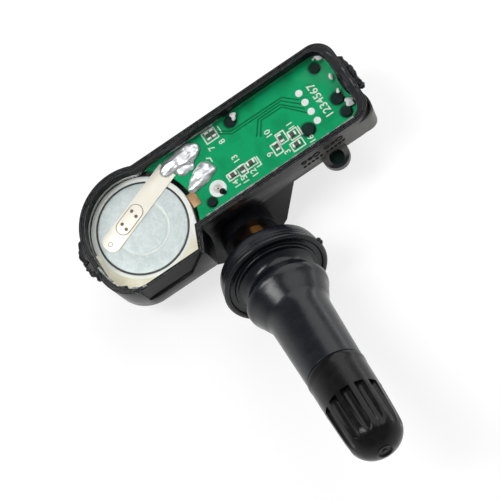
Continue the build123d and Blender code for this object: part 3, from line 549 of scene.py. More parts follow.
for face in housingBm.faces:  # the pegs and the ear's hole look dull; the rim's edges get painted highlights
    middle = face.calc_center_median()
    fromPeg = min((middle - spot).to_2d().length for spot in pegSpots)
    isPeg = fromPeg < housingLook["pegReach"] * mm and middle.z < pegTop + housingLook["pegSlack"] * mm
    fromHole = (middle - earSpot).to_2d().length
    inHole = fromHole < housingLook["earHoleRadius"] * mm and middle.z < rimZ + housingLook["earTop"] * mm
    # painted highlight: sloped bevel faces along the rim's top take a pale, broken finish
    onHighlightEdge = middle.z > rimZ - housingLook["rimEdge"] * mm and highlightFrom < face.normal.z < highlightTo
    face.material_index = 1 if isPeg or inHole else 2 if onHighlightEdge else 0
addPiece("moulded_housing", housingBm, [blacks["housing"], plains["pegDark"], plains["edgeHighlight"]],
         nodes=["housing"], smooth=25)

# torn flash on both ends of the rim
flashLook = {
    "gap": 0.5, "voxel": 0.13, "rounds": 1, "drop": 0.8, "swing": 0.4, "rise": 0.5,
    "leastSize": 0.8, "moreSize": 0.6,
    "swingNoise": (1.7, 0.3), "riseNoise": (2.1, 5.3),  # step, seed
    "rough": [(0.42, 0.9, 10), (0.16, 2.6, 30)],  # depth by size, scale, seed by size
    "runs": [  # places on the rim, lump radius
        ([(-10.9, 2.9), (-11.9, 1.6), (-12.0, -2.2), (-11.1, -4.6)], 0.62),
        ([(-11.1, -4.6), (-9.9, -7.4), (-8.0, -9.3)], 0.36),
        ([(47.4, 4.6), (47.9, 1.5), (48.0, -2.2)], 0.62),
    ],
}
flashBm = bmesh.new()
for run, size in flashLook["runs"]:
    lobes = []
    for index, spot in enumerate(alongRun(run, flashLook["gap"])):
        swing, rise = (noise.noise(Vector((index * step, spot.x, seed)))
                       for step, seed in (flashLook["swingNoise"], flashLook["riseNoise"]))
        lift = rise * flashLook["rise"] - flashLook["drop"]
        centre = onRim(spot.x + swing * flashLook["swing"], spot.y, lift)
        lobes.append((centre, size * (flashLook["leastSize"] + flashLook["moreSize"] * abs(swing)), 1.0))
    lumpBm = fusedLobes(lobes, flashLook["voxel"], flashLook["rounds"])
    for depth, scale, seed in flashLook["rough"]:
        roughen(lumpBm, size * depth, scale, size * seed)
    joinInto(flashBm, lumpBm)
addPiece("torn_rim_flash", flashBm, [blacks["housing"]], smooth=50)

# raised rings on the front wall, and the swelling of the end wall
ringsLook = {
    "thick": 0.17, "sides": 8, "steps": 18, "wallOut": 1.25, "depth": 1.0,
    "fields": [(31.0, 0.0), (36.0, 0.2)],  # start along the wall, lift
    "rings": [(0.5, -2.7, 0.5), (1.8, -2.6, 0.42), (3.2, -2.6, 0.68), (0.3, -4.9, 0.2), (1.2, -4.8, 0.24),
              (2.1, -4.8, 0.2), (3.0, -4.7, 0.24), (3.9, -4.6, 0.2)],  # along, below the rim, radius
    "swelling": (45.9, 0.4, -1.05), "swellingHalf": (0.95, 2.9, 1.25),
    "swellingSides": 32, "swellingRows": 20,
}
# outside of the wall in front of the board
frontWallY = (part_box("circuit_board")[0].y - cellY) / mm - ringsLook["wallOut"]
markBm = bmesh.new()
for start, lift in ringsLook["fields"]:
    for along, drop, radius in ringsLook["rings"]:
        centre = onRim(start + along, frontWallY, drop + lift)
        side = Matrix.Translation(centre + Vector((radius * mm, 0, 0)))
        made = bmesh.ops.create_circle(markBm, segments=ringsLook["sides"], radius=ringsLook["thick"] * mm,
                                       matrix=side)
        rims = list({edge for vert in made["verts"] for edge in vert.link_edges})
        bmesh.ops.spin(markBm, geom=made["verts"] + rims, cent=centre, axis=(0, 1, 0), angle=2 * pi,
                       steps=ringsLook["steps"], use_merge=True)
swelling = Matrix.Translation(onRim(*ringsLook["swelling"]))
bmesh.ops.create_uvsphere(markBm, u_segments=ringsLook["swellingSides"], v_segments=ringsLook["swellingRows"],
                          radius=mm, matrix=swelling @ Matrix.Diagonal((*ringsLook["swellingHalf"], 1)))
bmesh.ops.remove_doubles(markBm, verts=markBm.verts, dist=seamGap)
bmesh.ops.recalc_face_normals(markBm, faces=markBm.faces)
for face in markBm.faces:  # the rings are dark, the swelling is as the wall
    face.material_index = int(face.calc_center_median().y > onRim(0, frontWallY + ringsLook["depth"]).y)
addPiece("raised_wall_rings", markBm, [plains["viaDark"], blacks["housing"]], smooth=60)

# thin skirt round the end wall's front corner, in two layers
skirtLook = {
    "line": [(47.0, -2.2, 0), (47.7, -4.3, 1.4), (47.0, -7.5, 2.8), (42.5, -7.12, 0)], "steps": 8,
    "layers": [(0.2, -0.2, -1.6, -8.0), (0.1, -1.7, -3.2, -7.95)],  # outer and inner side, top, foot
}
skirtBm = bmesh.new()
skirtLine = roundedLine(skirtLook["line"], skirtLook["steps"])
for outer, inner, top, foot in skirtLook["layers"]:
    loops = []
    for index, spot in enumerate(skirtLine):
        ahead = skirtLine[min(index + 1, len(skirtLine) - 1)]
        run = (ahead - skirtLine[max(index - 1, 0)]).normalized()
        corners = [skirtBm.verts.new(onRim(spot.x - run.y * side, spot.y + run.x * side, lift))
                   for side, lift in ((outer, foot), (outer, top), (inner, top), (inner, foot))]
        loops.append([skirtBm.edges.new(pair) for pair in zip(corners, corners[1:] + corners[:1])])
    for pair in zip(loops, loops[1:]):
        bmesh.ops.bridge_loops(skirtBm, edges=pair[0] + pair[1])
bmesh.ops.holes_fill(skirtBm, edges=skirtBm.edges, sides=4)
bmesh.ops.recalc_face_normals(skirtBm, faces=skirtBm.faces)
addPiece("corner_skirt", skirtBm, [blacks["housing"]], smooth=40)
print("housing made")

# coin cell: can with a flat crimped rim, insulating ring, cap with one pressed circle
cellLook = {"steps": 128, "footRound": 0.4, "rimRound": 0.3, "lipRound": 0.12, "clear": 0.01,
            "ringLift": 0.02, "ringSunk": 0.1, "ringRound": 0.05, "capLift": 0.01, "capRound": 0.15,
            "circleRadius": 4.95, "circleHalf": 0.24, "circleDepth": 0.12, "circleSlope": 0.1,
            "circleRound": 0.1, "circleFootRound": 0.05, "circleLitFacing": 0.1}
canDepth = (cellHigh.z - cellLow.z) / mm
cellRadius = (cellHigh.x - cellLow.x) / 2 / mm
gasketRadius = (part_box("battery_gasket")[1].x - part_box("battery_gasket")[0].x) / 2 / mm
capRadius = (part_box("battery_cap")[1].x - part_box("battery_cap")[0].x) / 2 / mm
capLow = (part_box("battery_cap")[0].z - cellLow.z) / mm
cellPlace = Matrix.Translation((cellX, cellY, cellLow.z))


def addCellPiece(name, points, finishes, node):
    bm = spunPiece(roundedLine(points), cellLook["steps"])
    for face in bm.faces:  # a second, paler finish on the pressed circle's upward faces is a painted highlight
        away = face.calc_center_median()
        fromCircle = abs(away.to_2d().length / mm - cellLook["circleRadius"])
        isTop = away.z > capLow * mm and face.normal.z > cellLook["circleLitFacing"]
        circleLit = fromCircle < cellLook["circleHalf"] and isTop
        face.material_index = int(circleLit and len(finishes) > 1)
    bmesh.ops.transform(bm, matrix=cellPlace, verts=bm.verts)
    addPiece(name, bm, finishes, nodes=[node], smooth=25)


addCellPiece("cell_can", [
    (0, 0, 0), (0, cellRadius, cellLook["footRound"]), (canDepth, cellRadius, cellLook["rimRound"]),
    (canDepth, gasketRadius, cellLook["lipRound"]), (capLow, gasketRadius, 0), (capLow, 0, 0),
], [metals["cellCan"]], "battery_can")
ringFoot = capLow + cellLook["ringLift"]
ringTop = canDepth - cellLook["ringSunk"]
ringIn = capRadius + cellLook["clear"]
ringOut = gasketRadius - cellLook["clear"]
addCellPiece("cell_insulating_ring", [
    (ringFoot, ringIn, 0), (ringTop, ringIn, cellLook["ringRound"]),
    (ringTop, ringOut, cellLook["ringRound"]), (ringFoot, ringOut, 0), (ringFoot, ringIn, 0),
], [plains["insulator"]], "battery_gasket")
circleOut = cellLook["circleRadius"] + cellLook["circleHalf"]
circleIn = cellLook["circleRadius"] - cellLook["circleHalf"]
circleFloor = canDepth - cellLook["circleDepth"]
capFoot = capLow + cellLook["capLift"]
addCellPiece("cell_cap", [
    (capFoot, 0, 0), (capFoot, capRadius, 0), (canDepth, capRadius, cellLook["capRound"]),
    (canDepth, circleOut, cellLook["circleRound"]),
    (circleFloor, circleOut - cellLook["circleSlope"], cellLook["circleFootRound"]),
    (circleFloor, circleIn + cellLook["circleSlope"], cellLook["circleFootRound"]),
    (canDepth, circleIn, cellLook["circleRound"]), (canDepth, 0, 0),
], [metals["cellCap"], plains["circleHighlight"]], "battery_cap")

# cream filler between the can and the wider well in front of it
fillerLook = {"start": 0.4, "corner": (-4.2, -4.75), "cornerRadius": 5.87, "cornerTurns": range(180, 271, 10),
              "shoulder": [(6.8, -10.62), (8.7, -6.2), (9.44, -3.48)], "gap": 0.7, "cuts": 3,
              "canEdge": 0.4, "atWall": 0.5, "atCan": 0.01, "foot": -0.3}
cornerX, cornerY = fillerLook["corner"]
cornerArc = [(cornerX + fillerLook["cornerRadius"] * cos(radians(turn)),
              cornerY + fillerLook["cornerRadius"] * sin(radians(turn)))
             for turn in fillerLook["cornerTurns"]]
wallLine = alongRun([(cornerArc[0][0], fillerLook["start"])] + cornerArc + fillerLook["shoulder"],
                    fillerLook["gap"])
fillerBm = bmesh.new()
wallVerts = [fillerBm.verts.new(onBoard(spot.x, spot.y, fillerLook["atWall"])) for spot in wallLine]
canVerts = []
for spot in wallLine:
    edge = spot.normalized() * (cellRadius - fillerLook["canEdge"])
    canVerts.append(fillerBm.verts.new(onBoard(edge.x, edge.y, fillerLook["atCan"])))
for chain in (wallVerts, canVerts):
    for pair in zip(chain, chain[1:]):
        fillerBm.edges.new(pair)
bmesh.ops.bridge_loops(fillerBm, edges=list(fillerBm.edges))
across = [edge for edge in fillerBm.edges if (edge.verts[0] in wallVerts) != (edge.verts[1] in wallVerts)]
middle = bmesh.ops.subdivide_edges(fillerBm, edges=across, cuts=fillerLook["cuts"], use_grid_fill=True)
wallRise = fillerLook["atWall"] - fillerLook["atCan"]
for vert in middle["geom_inner"]:
    if isinstance(vert, bmesh.types.BMVert):
        share = ((vert.co.z - boardZ) / mm - fillerLook["atCan"]) / wallRise
        vert.co.z = boardZ + (fillerLook["atCan"] + share ** 2 * wallRise) * mm
fillerFoot = bmesh.ops.extrude_face_region(fillerBm, geom=list(fillerBm.faces), use_keep_orig=True)
for vert in fillerFoot["geom"]:
    if isinstance(vert, bmesh.types.BMVert):
        vert.co.z = boardZ + fillerLook["foot"] * mm
bmesh.ops.recalc_face_normals(fillerBm, faces=fillerBm.faces)
addPiece("well_filler", fillerBm, [creamFiller], smooth=50)
print("battery made")

# welded strip with its pressed oval, weld dots, dimple and fold, and the strip at the cell's side
tabLook = {"tip": (-7.75, 0.3), "end": (9.85, 6.8), "edge": 0.05, "sideEdge": 0.06, "edgeSegments": 3,
           "foldAt": 17.6, "foldHalf": 1.1, "foldLift": 0.18, "foldRadius": 0.16,
           "ovalAt": 7.0, "ovalHalf": 1.8, "ovalRadius": 1.45, "ovalShadeLine": 0.055, "ovalSteps": 12,
           "dimpleAt": (1.2, 0.1), "dimpleRadius": 0.42, "dimpleLift": 0.2, "dimpleSteps": 16,
           "weldSize": 0.34, "weldFlat": 0.16, "weldSides": 20, "weldRows": 10,
           "weldSpots": [(-1.5, 0.6), (-1.8, -0.65), (1.5, 0.65), (1.2, -0.65)]}
tabTip = Vector(tabLook["tip"])
tabAlong = (Vector(tabLook["end"]) - tabTip).normalized()
tabAcross = Vector((-tabAlong.y, tabAlong.x))
tabTop = (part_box("negative_tab")[1].z - boardZ) / mm


def onTab(along, across, lift):
    spot = tabTip + tabAlong * along + tabAcross * across
    return onBoard(spot.x, spot.y, lift)


def tabArc(along, across, radius, turns, lift):  # points round a place on the strip
    return [onTab(along + radius * cos(turn), across + radius * sin(turn), lift) for turn in turns]


tabBm = mergedCopy("negative_tab")
softenEdges(tabBm, tabLook["edge"], segments=tabLook["edgeSegments"])
foldLine = [onTab(tabLook["foldAt"], side * tabLook["foldHalf"], tabLook["foldLift"]) for side in (-1, 1)]
joinInto(tabBm, wirePath(foldLine, tabLook["foldRadius"] * mm))
addPiece("welded_strip", tabBm, [metals["tab"]], nodes=["negative_tab"], smooth=25)

# painted shade: a dark bead along the pressed oval's edge and round the dimple; the brown weld dots are their
# own colour
ovalShadeLine = []
for end in (1, -1):
    middle = tabLook["ovalAt"] + end * tabLook["ovalHalf"]
    turns = [radians(180 * step / tabLook["ovalSteps"] - 90 * end)
             for step in range(tabLook["ovalSteps"] + 1)]
    ovalShadeLine += tabArc(middle, 0, tabLook["ovalRadius"], turns, tabTop)
weldBm = wirePath(ovalShadeLine + ovalShadeLine[:1], tabLook["ovalShadeLine"] * mm)
for along, across in tabLook["weldSpots"]:
    spot = Matrix.Translation(onTab(tabLook["ovalAt"] + along, across, tabTop))
    bmesh.ops.create_uvsphere(weldBm, u_segments=tabLook["weldSides"], v_segments=tabLook["weldRows"],
                              radius=tabLook["weldSize"] * mm,
                              matrix=spot @ Matrix.Diagonal((1, 1, tabLook["weldFlat"], 1)))
turns = [2 * pi * step / tabLook["dimpleSteps"] for step in range(tabLook["dimpleSteps"] + 1)]
dimpleShadeLine = tabArc(*tabLook["dimpleAt"], tabLook["dimpleRadius"], turns, tabLook["dimpleLift"])
joinInto(weldBm, wirePath(dimpleShadeLine, tabLook["ovalShadeLine"] * mm))
addPiece("strip_welds_and_shade_lines", weldBm, [plains["weldBrownAndShade"]], smooth=60)
addSoftened("side_strip", "positive_tab", metals["sideTab"], tabLook["sideEdge"],
            segments=tabLook["edgeSegments"], smooth=25)

# solder, melted from round lobes over the ends of the strips
solderLook = {
    "voxel": 0.11, "meltRounds": 14, "calmRounds": 6, "height": 0.5, "lift": 0.15, "sunk": 0.05,
    "ripple": 0.3, "rippleScale": 0.75, "stretch": 3.0,
    "strip": [(9.5, 6.7, 1.5), (10.4, 6.9, 1.7), (11.7, 6.8, 2.0), (13.2, 6.8, 2.2), (14.6, 7.1, 2.0),
              (15.8, 7.2, 1.35), (12.0, 5.2, 1.4), (13.6, 5.3, 1.3)],
    "side": [(12.0, 0.9, 1.2), (13.2, 1.4, 1.6), (14.5, 2.0, 1.8), (15.7, 2.5, 1.7), (16.5, 2.2, 1.2),
             (15.4, 3.2, 1.2)],
}
for part, node, seed in (("strip", "negative_solder", 3.0), ("side", "positive_solder", 8.0)):
    lobes = [(onBoard(x, y, solderLook["lift"]), radius, solderLook["height"])
             for x, y, radius in solderLook[part]]
    solderBm = fusedLobes(lobes, solderLook["voxel"], solderLook["meltRounds"])
    roughen(solderBm, solderLook["ripple"], solderLook["rippleScale"], seed, solderLook["stretch"])
    relax(solderBm, solderLook["calmRounds"])
    for vert in solderBm.verts:
        vert.co.z = max(vert.co.z, boardZ - solderLook["sunk"] * mm)
    addPiece(part + "_solder", solderBm, [metals["solder"]], nodes=[node], smooth=60)
print("strips and solder made")

# board, traces under its mask, white print, chips and bare pads
boardBm = mergedCopy("circuit_board")
softenEdges(boardBm, boardLook["edge"])
boardLow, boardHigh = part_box("circuit_board")
boardMiddle = (boardLow.y + boardHigh.y) / 2
for vert in boardBm.verts:  # spreads over the thin gap that the resin hides
    vert.co.x += boardLook["spread"] * mm * (vert.co.x - boardLow.x) / (boardHigh.x - boardLow.x)
    vert.co.y += boardLook["spread"] * mm * (vert.co.y - boardMiddle) / (boardHigh.y - boardMiddle)
addPiece("green_board", boardBm, [boardFinish(pegSpots, pegSizes)], nodes=["circuit_board"],
         smooth=25)

markLook = {
    "traceHalf": 0.16, "lineHalf": 0.13, "flat": 0.2, "digitSize": 1.7, "numberSize": 2.2, "digitBold": 0.02,
    "digitDepth": 0.01, "digitCurve": 3, "digitTurn": 90, "lift": 0.015,
    "traces": [  # millimetres from the battery's centre
        [(21.6, 7.5), (22.4, 6.9), (23.6, 6.1), (34.9, 6.0), (37.2, 3.7)],
        [(21.4, 7.0), (22.3, 6.4), (23.5, 5.55), (34.4, 5.5), (37.2, 2.7)],
        [(27.0, 2.4), (29.0, 5.0), (33.9, 5.0), (37.1, 1.7)],
        [(27.6, 1.9), (29.4, 4.5), (33.9, 4.4), (37.2, 0.6)],
    ],
    "boxes": [  # x from, y from, x to, y to
        (18.6, 6.55, 21.2, 8.85), (18.3, -2.0, 20.5, -0.7), (20.5, -2.55, 22.1, -0.65),
        (22.2, -2.1, 24.5, -0.8), (28.1, -3.0, 29.6, -0.7), (29.9, -1.7, 31.6, 0.5),
        (32.0, -2.2, 33.9, -0.4), (31.2, -4.3, 33.7, -2.6),
    ],
    "lines": [
        [(24.9, -0.9), (24.9, -2.7), (24.0, -2.7)], [(34.3, -0.5), (34.3, -2.3)],
        [(17.0, 4.3), (17.6, 4.0), (17.6, 3.2)], [(22.0, 7.0), (22.0, 8.4)],
    ],
    "digits": [  # plain counting digits: text, x, y
        ("7", 18.9, 5.4), ("8", 21.2, 5.4), ("13", 21.5, 1.0), ("14", 19.2, -3.2), ("15", 20.9, -3.4),
        ("12", 23.0, -3.3), ("9", 27.3, -2.0), ("10", 29.1, 1.5), ("11", 33.3, 0.4), ("16", 35.2, -4.1),
        ("3", 30.2, -3.5), ("1234567", 40.5, 1.2),
    ],
}


def boardLines(bm, runs, half):  # flat beads along runs of places on the board
    for run in runs:
        joinInto(bm, wirePath([onBoard(x, y) for x, y in run], half * mm, markLook["flat"]))


traceBm = bmesh.new()
boardLines(traceBm, markLook["traces"], markLook["traceHalf"])
addPiece("board_traces", traceBm, [plains["boardTrace"]], smooth=50)

printBm = bmesh.new()
boxLines = [[(x0, y0), (x1, y0), (x1, y1), (x0, y1), (x0, y0)] for x0, y0, x1, y1 in markLook["boxes"]]
boardLines(printBm, boxLines + markLook["lines"], markLook["lineHalf"])
for words, x, y in markLook["digits"]:
    curve = bpy.data.curves.new("digits", "FONT")
    curve.body = words
    curve.align_x = "CENTER"
    curve.align_y = "CENTER"
    curve.size = markLook["numberSize" if len(words) > 2 else "digitSize"]
    curve.offset = markLook["digitBold"]
    curve.extrude = markLook["digitDepth"]
    curve.resolution_u = markLook["digitCurve"]
    mesh = takeMesh(bpy.data.objects.new("digits", curve))
    turn = Matrix.Rotation(radians(markLook["digitTurn"]), 4, "Z")
    mesh.transform(Matrix.Translation(onBoard(x, y, markLook["lift"])) @ turn @ Matrix.Scale(mm, 4))
    printBm.from_mesh(mesh)
    bpy.data.meshes.remove(mesh)
addPiece("board_print", printBm, [plains["boardInk"]], smooth=25)

chipLook = {"count": 9, "edge": 0.04, "endLength": 0.37, "padEdge": 0.03}
for number in range(1, chipLook["count"] + 1):
    node = "chip_part_" + str(number)
    low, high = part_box(node)
    chipBm = mergedCopy(node)
    softenEdges(chipBm, chipLook["edge"])
    longX = high.x - low.x > high.y - low.y
    middle = (low + high) / 2
    half = max(high.x - low.x, high.y - low.y) / 2
    for face in chipBm.faces:
        away = face.calc_center_median() - middle
        tinned = abs(away.x if longX else away.y) > half - chipLook["endLength"] * mm
        face.material_index = int(tinned)
    addPiece("chip_" + str(number), chipBm, [plains["chipCeramic"], metals["tin"]],
             nodes=[node], smooth=25)
addSoftened("bare_test_pads", "test_pads", metals["tin"], chipLook["padEdge"], smooth=25)

ringLook = {"steps": 64, "inner": 0.85, "outer": 1.65, "height": 0.16, "sunk": 0.01, "round": 0.1,
            "slope": 0.1, "core": 0.09, "coreRise": 0.02, "coreRound": 0.03, "spotRound": 0.06,
            "spots": [(0.42, -0.98, 0.62, 0.19), (0.62, -1.3, 0.45, 0.19),
                      (0.0, 0.0, 0.17, 0.14)]}  # x, y, radius, top
ringLow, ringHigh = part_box("ring_pad")
ringSpot = Vector(((ringLow.x + ringHigh.x) / 2, (ringLow.y + ringHigh.y) / 2, boardZ))
ringBm = spunPiece(roundedLine([
    (-ringLook["sunk"], 0, 0), (-ringLook["sunk"], ringLook["outer"], 0),
    (ringLook["height"], ringLook["outer"], ringLook["round"]),
    (ringLook["height"], ringLook["inner"] + ringLook["slope"], ringLook["round"]),
    (ringLook["core"], ringLook["inner"], ringLook["coreRound"]),
    (ringLook["core"] + ringLook["coreRise"], 0, 0),
]), ringLook["steps"])
for face in ringBm.faces:
    away = face.calc_center_median()
    face.material_index = int(away.to_2d().length < ringLook["inner"] * mm and away.z > 0)
for x, y, radius, top in ringLook["spots"]:  # dark gap in the ring and a dot in its middle
    spotLine = roundedLine([(0, 0, 0), (0, radius, 0), (top, radius, ringLook["spotRound"]), (top, 0, 0)])
    spotBm = spunPiece(spotLine, ringLook["steps"])
    for face in spotBm.faces:
        face.material_index = 2
    bmesh.ops.translate(spotBm, vec=(x * mm, y * mm, 0), verts=spotBm.verts)
    joinInto(ringBm, spotBm)
bmesh.ops.translate(ringBm, vec=ringSpot, verts=ringBm.verts)
addPiece("round_pad", ringBm, [metals["tin"], plains["padCore"], plains["pegDark"]],
         nodes=["ring_pad"], smooth=25)
print("board made")

# clear resin over the board and the cell, climbing a little at the walls
gelLook = {"level": 0.001, "facing": 0.9, "shrink": 0.025, "climb": 0.12, "foot": 0.03,
           "climbSteps": [(0.35, 0.2), (0.1, 0.25), (0.0, 0.4)]}  # share of the climb, step in
gelBm = mergedCopy("potting_gel")
spare = []
for face in gelBm.faces:
    isBelow = face.calc_center_median().z < gelTop - gelLook["level"] * mm
    if isBelow or abs(face.normal.z) < gelLook["facing"]:
        spare.append(face)
bmesh.ops.delete(gelBm, geom=spare, context="FACES")
vert = min((vert for vert in gelBm.verts if vert.is_boundary), key=lambda vert: vert.co.x)
outline = []
while vert not in outline:  # walks round the outer edge
    outline.append(vert)
    nexts = [edge.other_vert(vert) for edge in vert.link_edges if edge.is_boundary]
    vert = next((other for other in nexts if other not in outline), outline[0])
places = [vert.co.copy() for vert in outline]
gelBm.clear()
gelVerts = [gelBm.verts.new(place) for place in places]
topFace = gelBm.faces.new(gelVerts)
topFace.normal_update()
if topFace.normal.z < 0:
    topFace.normal_flip()
wallRing = bmesh.ops.inset_individual(gelBm, faces=[topFace], thickness=gelLook["shrink"] * mm,
                                      use_even_offset=True)
bmesh.ops.delete(gelBm, geom=wallRing["faces"], context="FACES")
raised = bmesh.ops.extrude_face_region(gelBm, geom=[topFace], use_keep_orig=True)
topFace = next(part for part in raised["geom"] if isinstance(part, bmesh.types.BMFace))
topVerts = set(topFace.verts)
for vert in gelBm.verts:
    vert.co.z = gelTop + gelLook["climb"] * mm if vert in topVerts else boardZ + gelLook["foot"] * mm
for share, width in gelLook["climbSteps"]:
    bmesh.ops.inset_individual(gelBm, faces=[topFace], thickness=width * mm, use_even_offset=True)
    for vert in topFace.verts:
        vert.co.z = gelTop + gelLook["climb"] * share * mm
bmesh.ops.recalc_face_normals(gelBm, faces=gelBm.faces)
addPiece("clear_potting", gelBm, [clearResin], nodes=["potting_gel"], smooth=60)

# painted highlights: white lumps where the resin's surface catches the light, and grey beads and crumbs along
# the walls' edges
glintLook = {"lift": 0.85, "height": 0.5, "voxel": 0.08, "rounds": 4, "rough": (0.3, 1.1, 4.0),
             "spots": [(44.7, 8.0, 0.55), (44.2, 8.5, 0.4), (43.6, 8.5, 0.3), (44.6, 3.7, 0.42),
                       (44.5, 3.2, 0.3), (43.9, 0.4, 0.3), (44.1, 0.8, 0.24), (44.8, -2.2, 0.7),
                       (44.4, -2.7, 0.55), (44.9, -2.9, 0.5), (25.5, 8.1, 0.62), (25.3, 7.6, 0.4)]}
glintLobes = [(onBoard(x, y, glintLook["lift"]), size, glintLook["height"])
              for x, y, size in glintLook["spots"]]
glintBm = fusedLobes(glintLobes, glintLook["voxel"], glintLook["rounds"])
roughen(glintBm, *glintLook["rough"])
addPiece("gel_glint_lumps", glintBm, [plains["glintWhite"]], smooth=60)

# painted highlights: thin grey beads along the rim's inner edges, the board's back edge and the end wall
gleamLook = {
    "gap": 0.45, "swellStep": 0.37, "swellSeed": 1.5, "swellFrom": 1.5, "voxel": 0.07, "rounds": 3,
    "rough": (0.05, 1.4, 6.0),
    "runs": [  # what it lies on, lift, size, broken into crumbs, places
        (onRim, -0.12, 0.13, False, [(11.6, -6.3), (20.0, -6.3), (30.0, -6.3), (43.4, -6.3)]),
        (onBoard, 1.0, 0.13, False, [(10.6, 9.0), (14.0, 9.05), (18.0, 9.05), (22.5, 9.05)]),
        (onRim, -0.05, 0.13, True, [(-10.4, -3.0), (-9.9, -5.8), (-8.6, -8.2), (-7.0, -9.9), (-5.6, -10.7),
                                    (-3.9, -11.0)]),
        (onRim, -0.05, 0.085, True, [(45.6, 8.4), (46.4, 6.5), (46.8, 4.0), (46.9, 0.5), (46.8, -2.6)]),
    ],
}
gleamLobes = []
for place, lift, size, broken, run in gleamLook["runs"]:
    for index, spot in enumerate(alongRun(run, gleamLook["gap"])):
        swell = noise.noise(Vector((index * gleamLook["swellStep"], run[0][1], gleamLook["swellSeed"])))
        if swell >= 0 or not broken:
            gleamLobes.append((place(spot.x, spot.y, lift), size * (gleamLook["swellFrom"] + swell), 1.0))
gleamBm = fusedLobes(gleamLobes, gleamLook["voxel"], gleamLook["rounds"])
roughen(gleamBm, *gleamLook["rough"])
addPiece("edge_gleam_beads", gleamBm, [plains["gleamGrey"]], smooth=60)
print("resin poured")

# rubber body turned about the valve's axis, with a torn nub on the flange's lip
rubberLook = {
    "steps": 144, "roundSteps": 6, "profile": [  # along from the seat, radius, rounding
        (23.97, 3.4, 0), (-4.5, 3.4, 0), (-4.5, 9.6, 0.9), (-3.2, 9.92, 0.3), (-2.25, 10.08, 0.05),
        (-2.15, 10.0, 0.05), (-2.0, 10.1, 0.05), (-1.5, 10.18, 0.05), (-1.38, 10.08, 0.05),
        (-1.2, 10.22, 0.1), (-0.55, 10.4, 0.35), (-0.15, 9.95, 0.2), (-0.2, 9.45, 0.3), (-0.75, 9.2, 0.25),
        (-0.75, 8.2, 0.2), (0.0, 8.2, 0.35), (0.0, 7.4, 0.4), (1.1, 6.2, 0.8), (4.2, 6.2, 0.5),
        (4.2, 8.1, 0.3), (5.1, 8.02, 0.6), (6.1, 7.45, 0.7), (7.2, 6.98, 0.9), (8.3, 6.5, 0.9),
        (9.2, 6.08, 0.9), (10.6, 5.9, 0.9), (24.25, 5.48, 0.06), (24.35, 5.36, 0.04), (24.35, 3.78, 0),
        (23.97, 3.4, 0)],
    "nub": [(10.25, 1.5, 1.6, 0.4), (10.3, 1.2, 0.9, 0.45), (10.2, 1.0, 0.3, 0.35)],  # x, y, z, radius
    "nubVoxel": 0.08, "nubRounds": 3, "nubRough": (0.08, 1.5, 2.0),
}
rubberBm = spunPiece(roundedLine(rubberLook["profile"], rubberLook["roundSteps"]), rubberLook["steps"])
bmesh.ops.transform(rubberBm, matrix=valveTurn, verts=rubberBm.verts)
nubLobes = [(Vector((x, y, z)) * mm, size, 1.0) for x, y, z, size in rubberLook["nub"]]
nubBm = fusedLobes(nubLobes, rubberLook["nubVoxel"], rubberLook["nubRounds"])
roughen(nubBm, *rubberLook["nubRough"])
joinInto(rubberBm, nubBm)
addPiece("rubber_body", rubberBm, [blacks["rubber"]], nodes=["rubber_valve_body"], smooth=40)

# brass stem with a real thread and a screw hole in its foot
stemLook = {
    "steps": 96, "neckEnd": -4.4, "threadRoot": 3.35, "threadTop": 3.77, "threadSunk": 0.05, "pitch": 0.794,
    "threadFrom": 25.2, "threadTo": 36.6, "turnSteps": 40, "crestHalf": 0.06, "rootHalf": 0.36,
    "foot": [  # along from the seat, radius, rounding
        (-10.0, 0, 0), (-10.0, 1.75, 0), (-15.4, 1.75, 0), (-15.4, 3.9, 0.2), (-4.5, 3.9, 0), (-4.5, 3.4, 0),
        (23.97, 3.4, 0), (24.35, 3.78, 0.1), (24.9, 3.78, 0.1)],
    "mouth": [(37.6, 3.1, 0.1), (37.6, 2.5, 0.1), (28.3, 2.5, 0), (27.7, 2.2, 0), (20.0, 2.2, 0),
              (19.3, 1.5, 0), (-7.6, 1.5, 0), (-7.6, 0, 0)],
    "underThread": (25.2, 37.0, 0.1),  # from, to, rounding
}
rootFrom, rootTo, rootRound = stemLook["underThread"]
threadRoot = [(along, stemLook["threadRoot"], rootRound) for along in (rootFrom, rootTo)]
stemBm = spunPiece(roundedLine(stemLook["foot"] + threadRoot + stemLook["mouth"]), stemLook["steps"])
# painted shade: the neck below the rubber takes the dark brown finish
for face in stemBm.faces:
    face.material_index = int(face.calc_center_median().z < stemLook["neckEnd"] * mm)
threadBm = bmesh.new()
threadTurns = (stemLook["threadTo"] - stemLook["threadFrom"]) / stemLook["pitch"]
threadSteps = int(threadTurns * stemLook["turnSteps"])
threadFoot = stemLook["threadRoot"] - stemLook["threadSunk"]
threadCut = [(threadFoot, -stemLook["rootHalf"]), (stemLook["threadTop"], -stemLook["crestHalf"]),
             (stemLook["threadTop"], stemLook["crestHalf"]), (threadFoot, stemLook["rootHalf"])]
threadVerts = [threadBm.verts.new((r * mm, 0, (stemLook["threadFrom"] + s) * mm)) for r, s in threadCut]
threadFace = threadBm.faces.new(threadVerts)
bmesh.ops.spin(threadBm, geom=[threadFace] + threadVerts + list(threadFace.edges), cent=(0, 0, 0),
               axis=(0, 0, 1), dvec=(0, 0, stemLook["pitch"] * threadTurns / threadSteps * mm),
               angle=2 * pi * threadTurns, steps=threadSteps, use_merge=False)
bmesh.ops.recalc_face_normals(threadBm, faces=threadBm.faces)
joinInto(stemBm, threadBm)
bmesh.ops.transform(stemBm, matrix=valveTurn, verts=stemBm.verts)
addPiece("threaded_stem", stemBm, [metals["brass"], shadedNeckBrass], nodes=["brass_stem"])

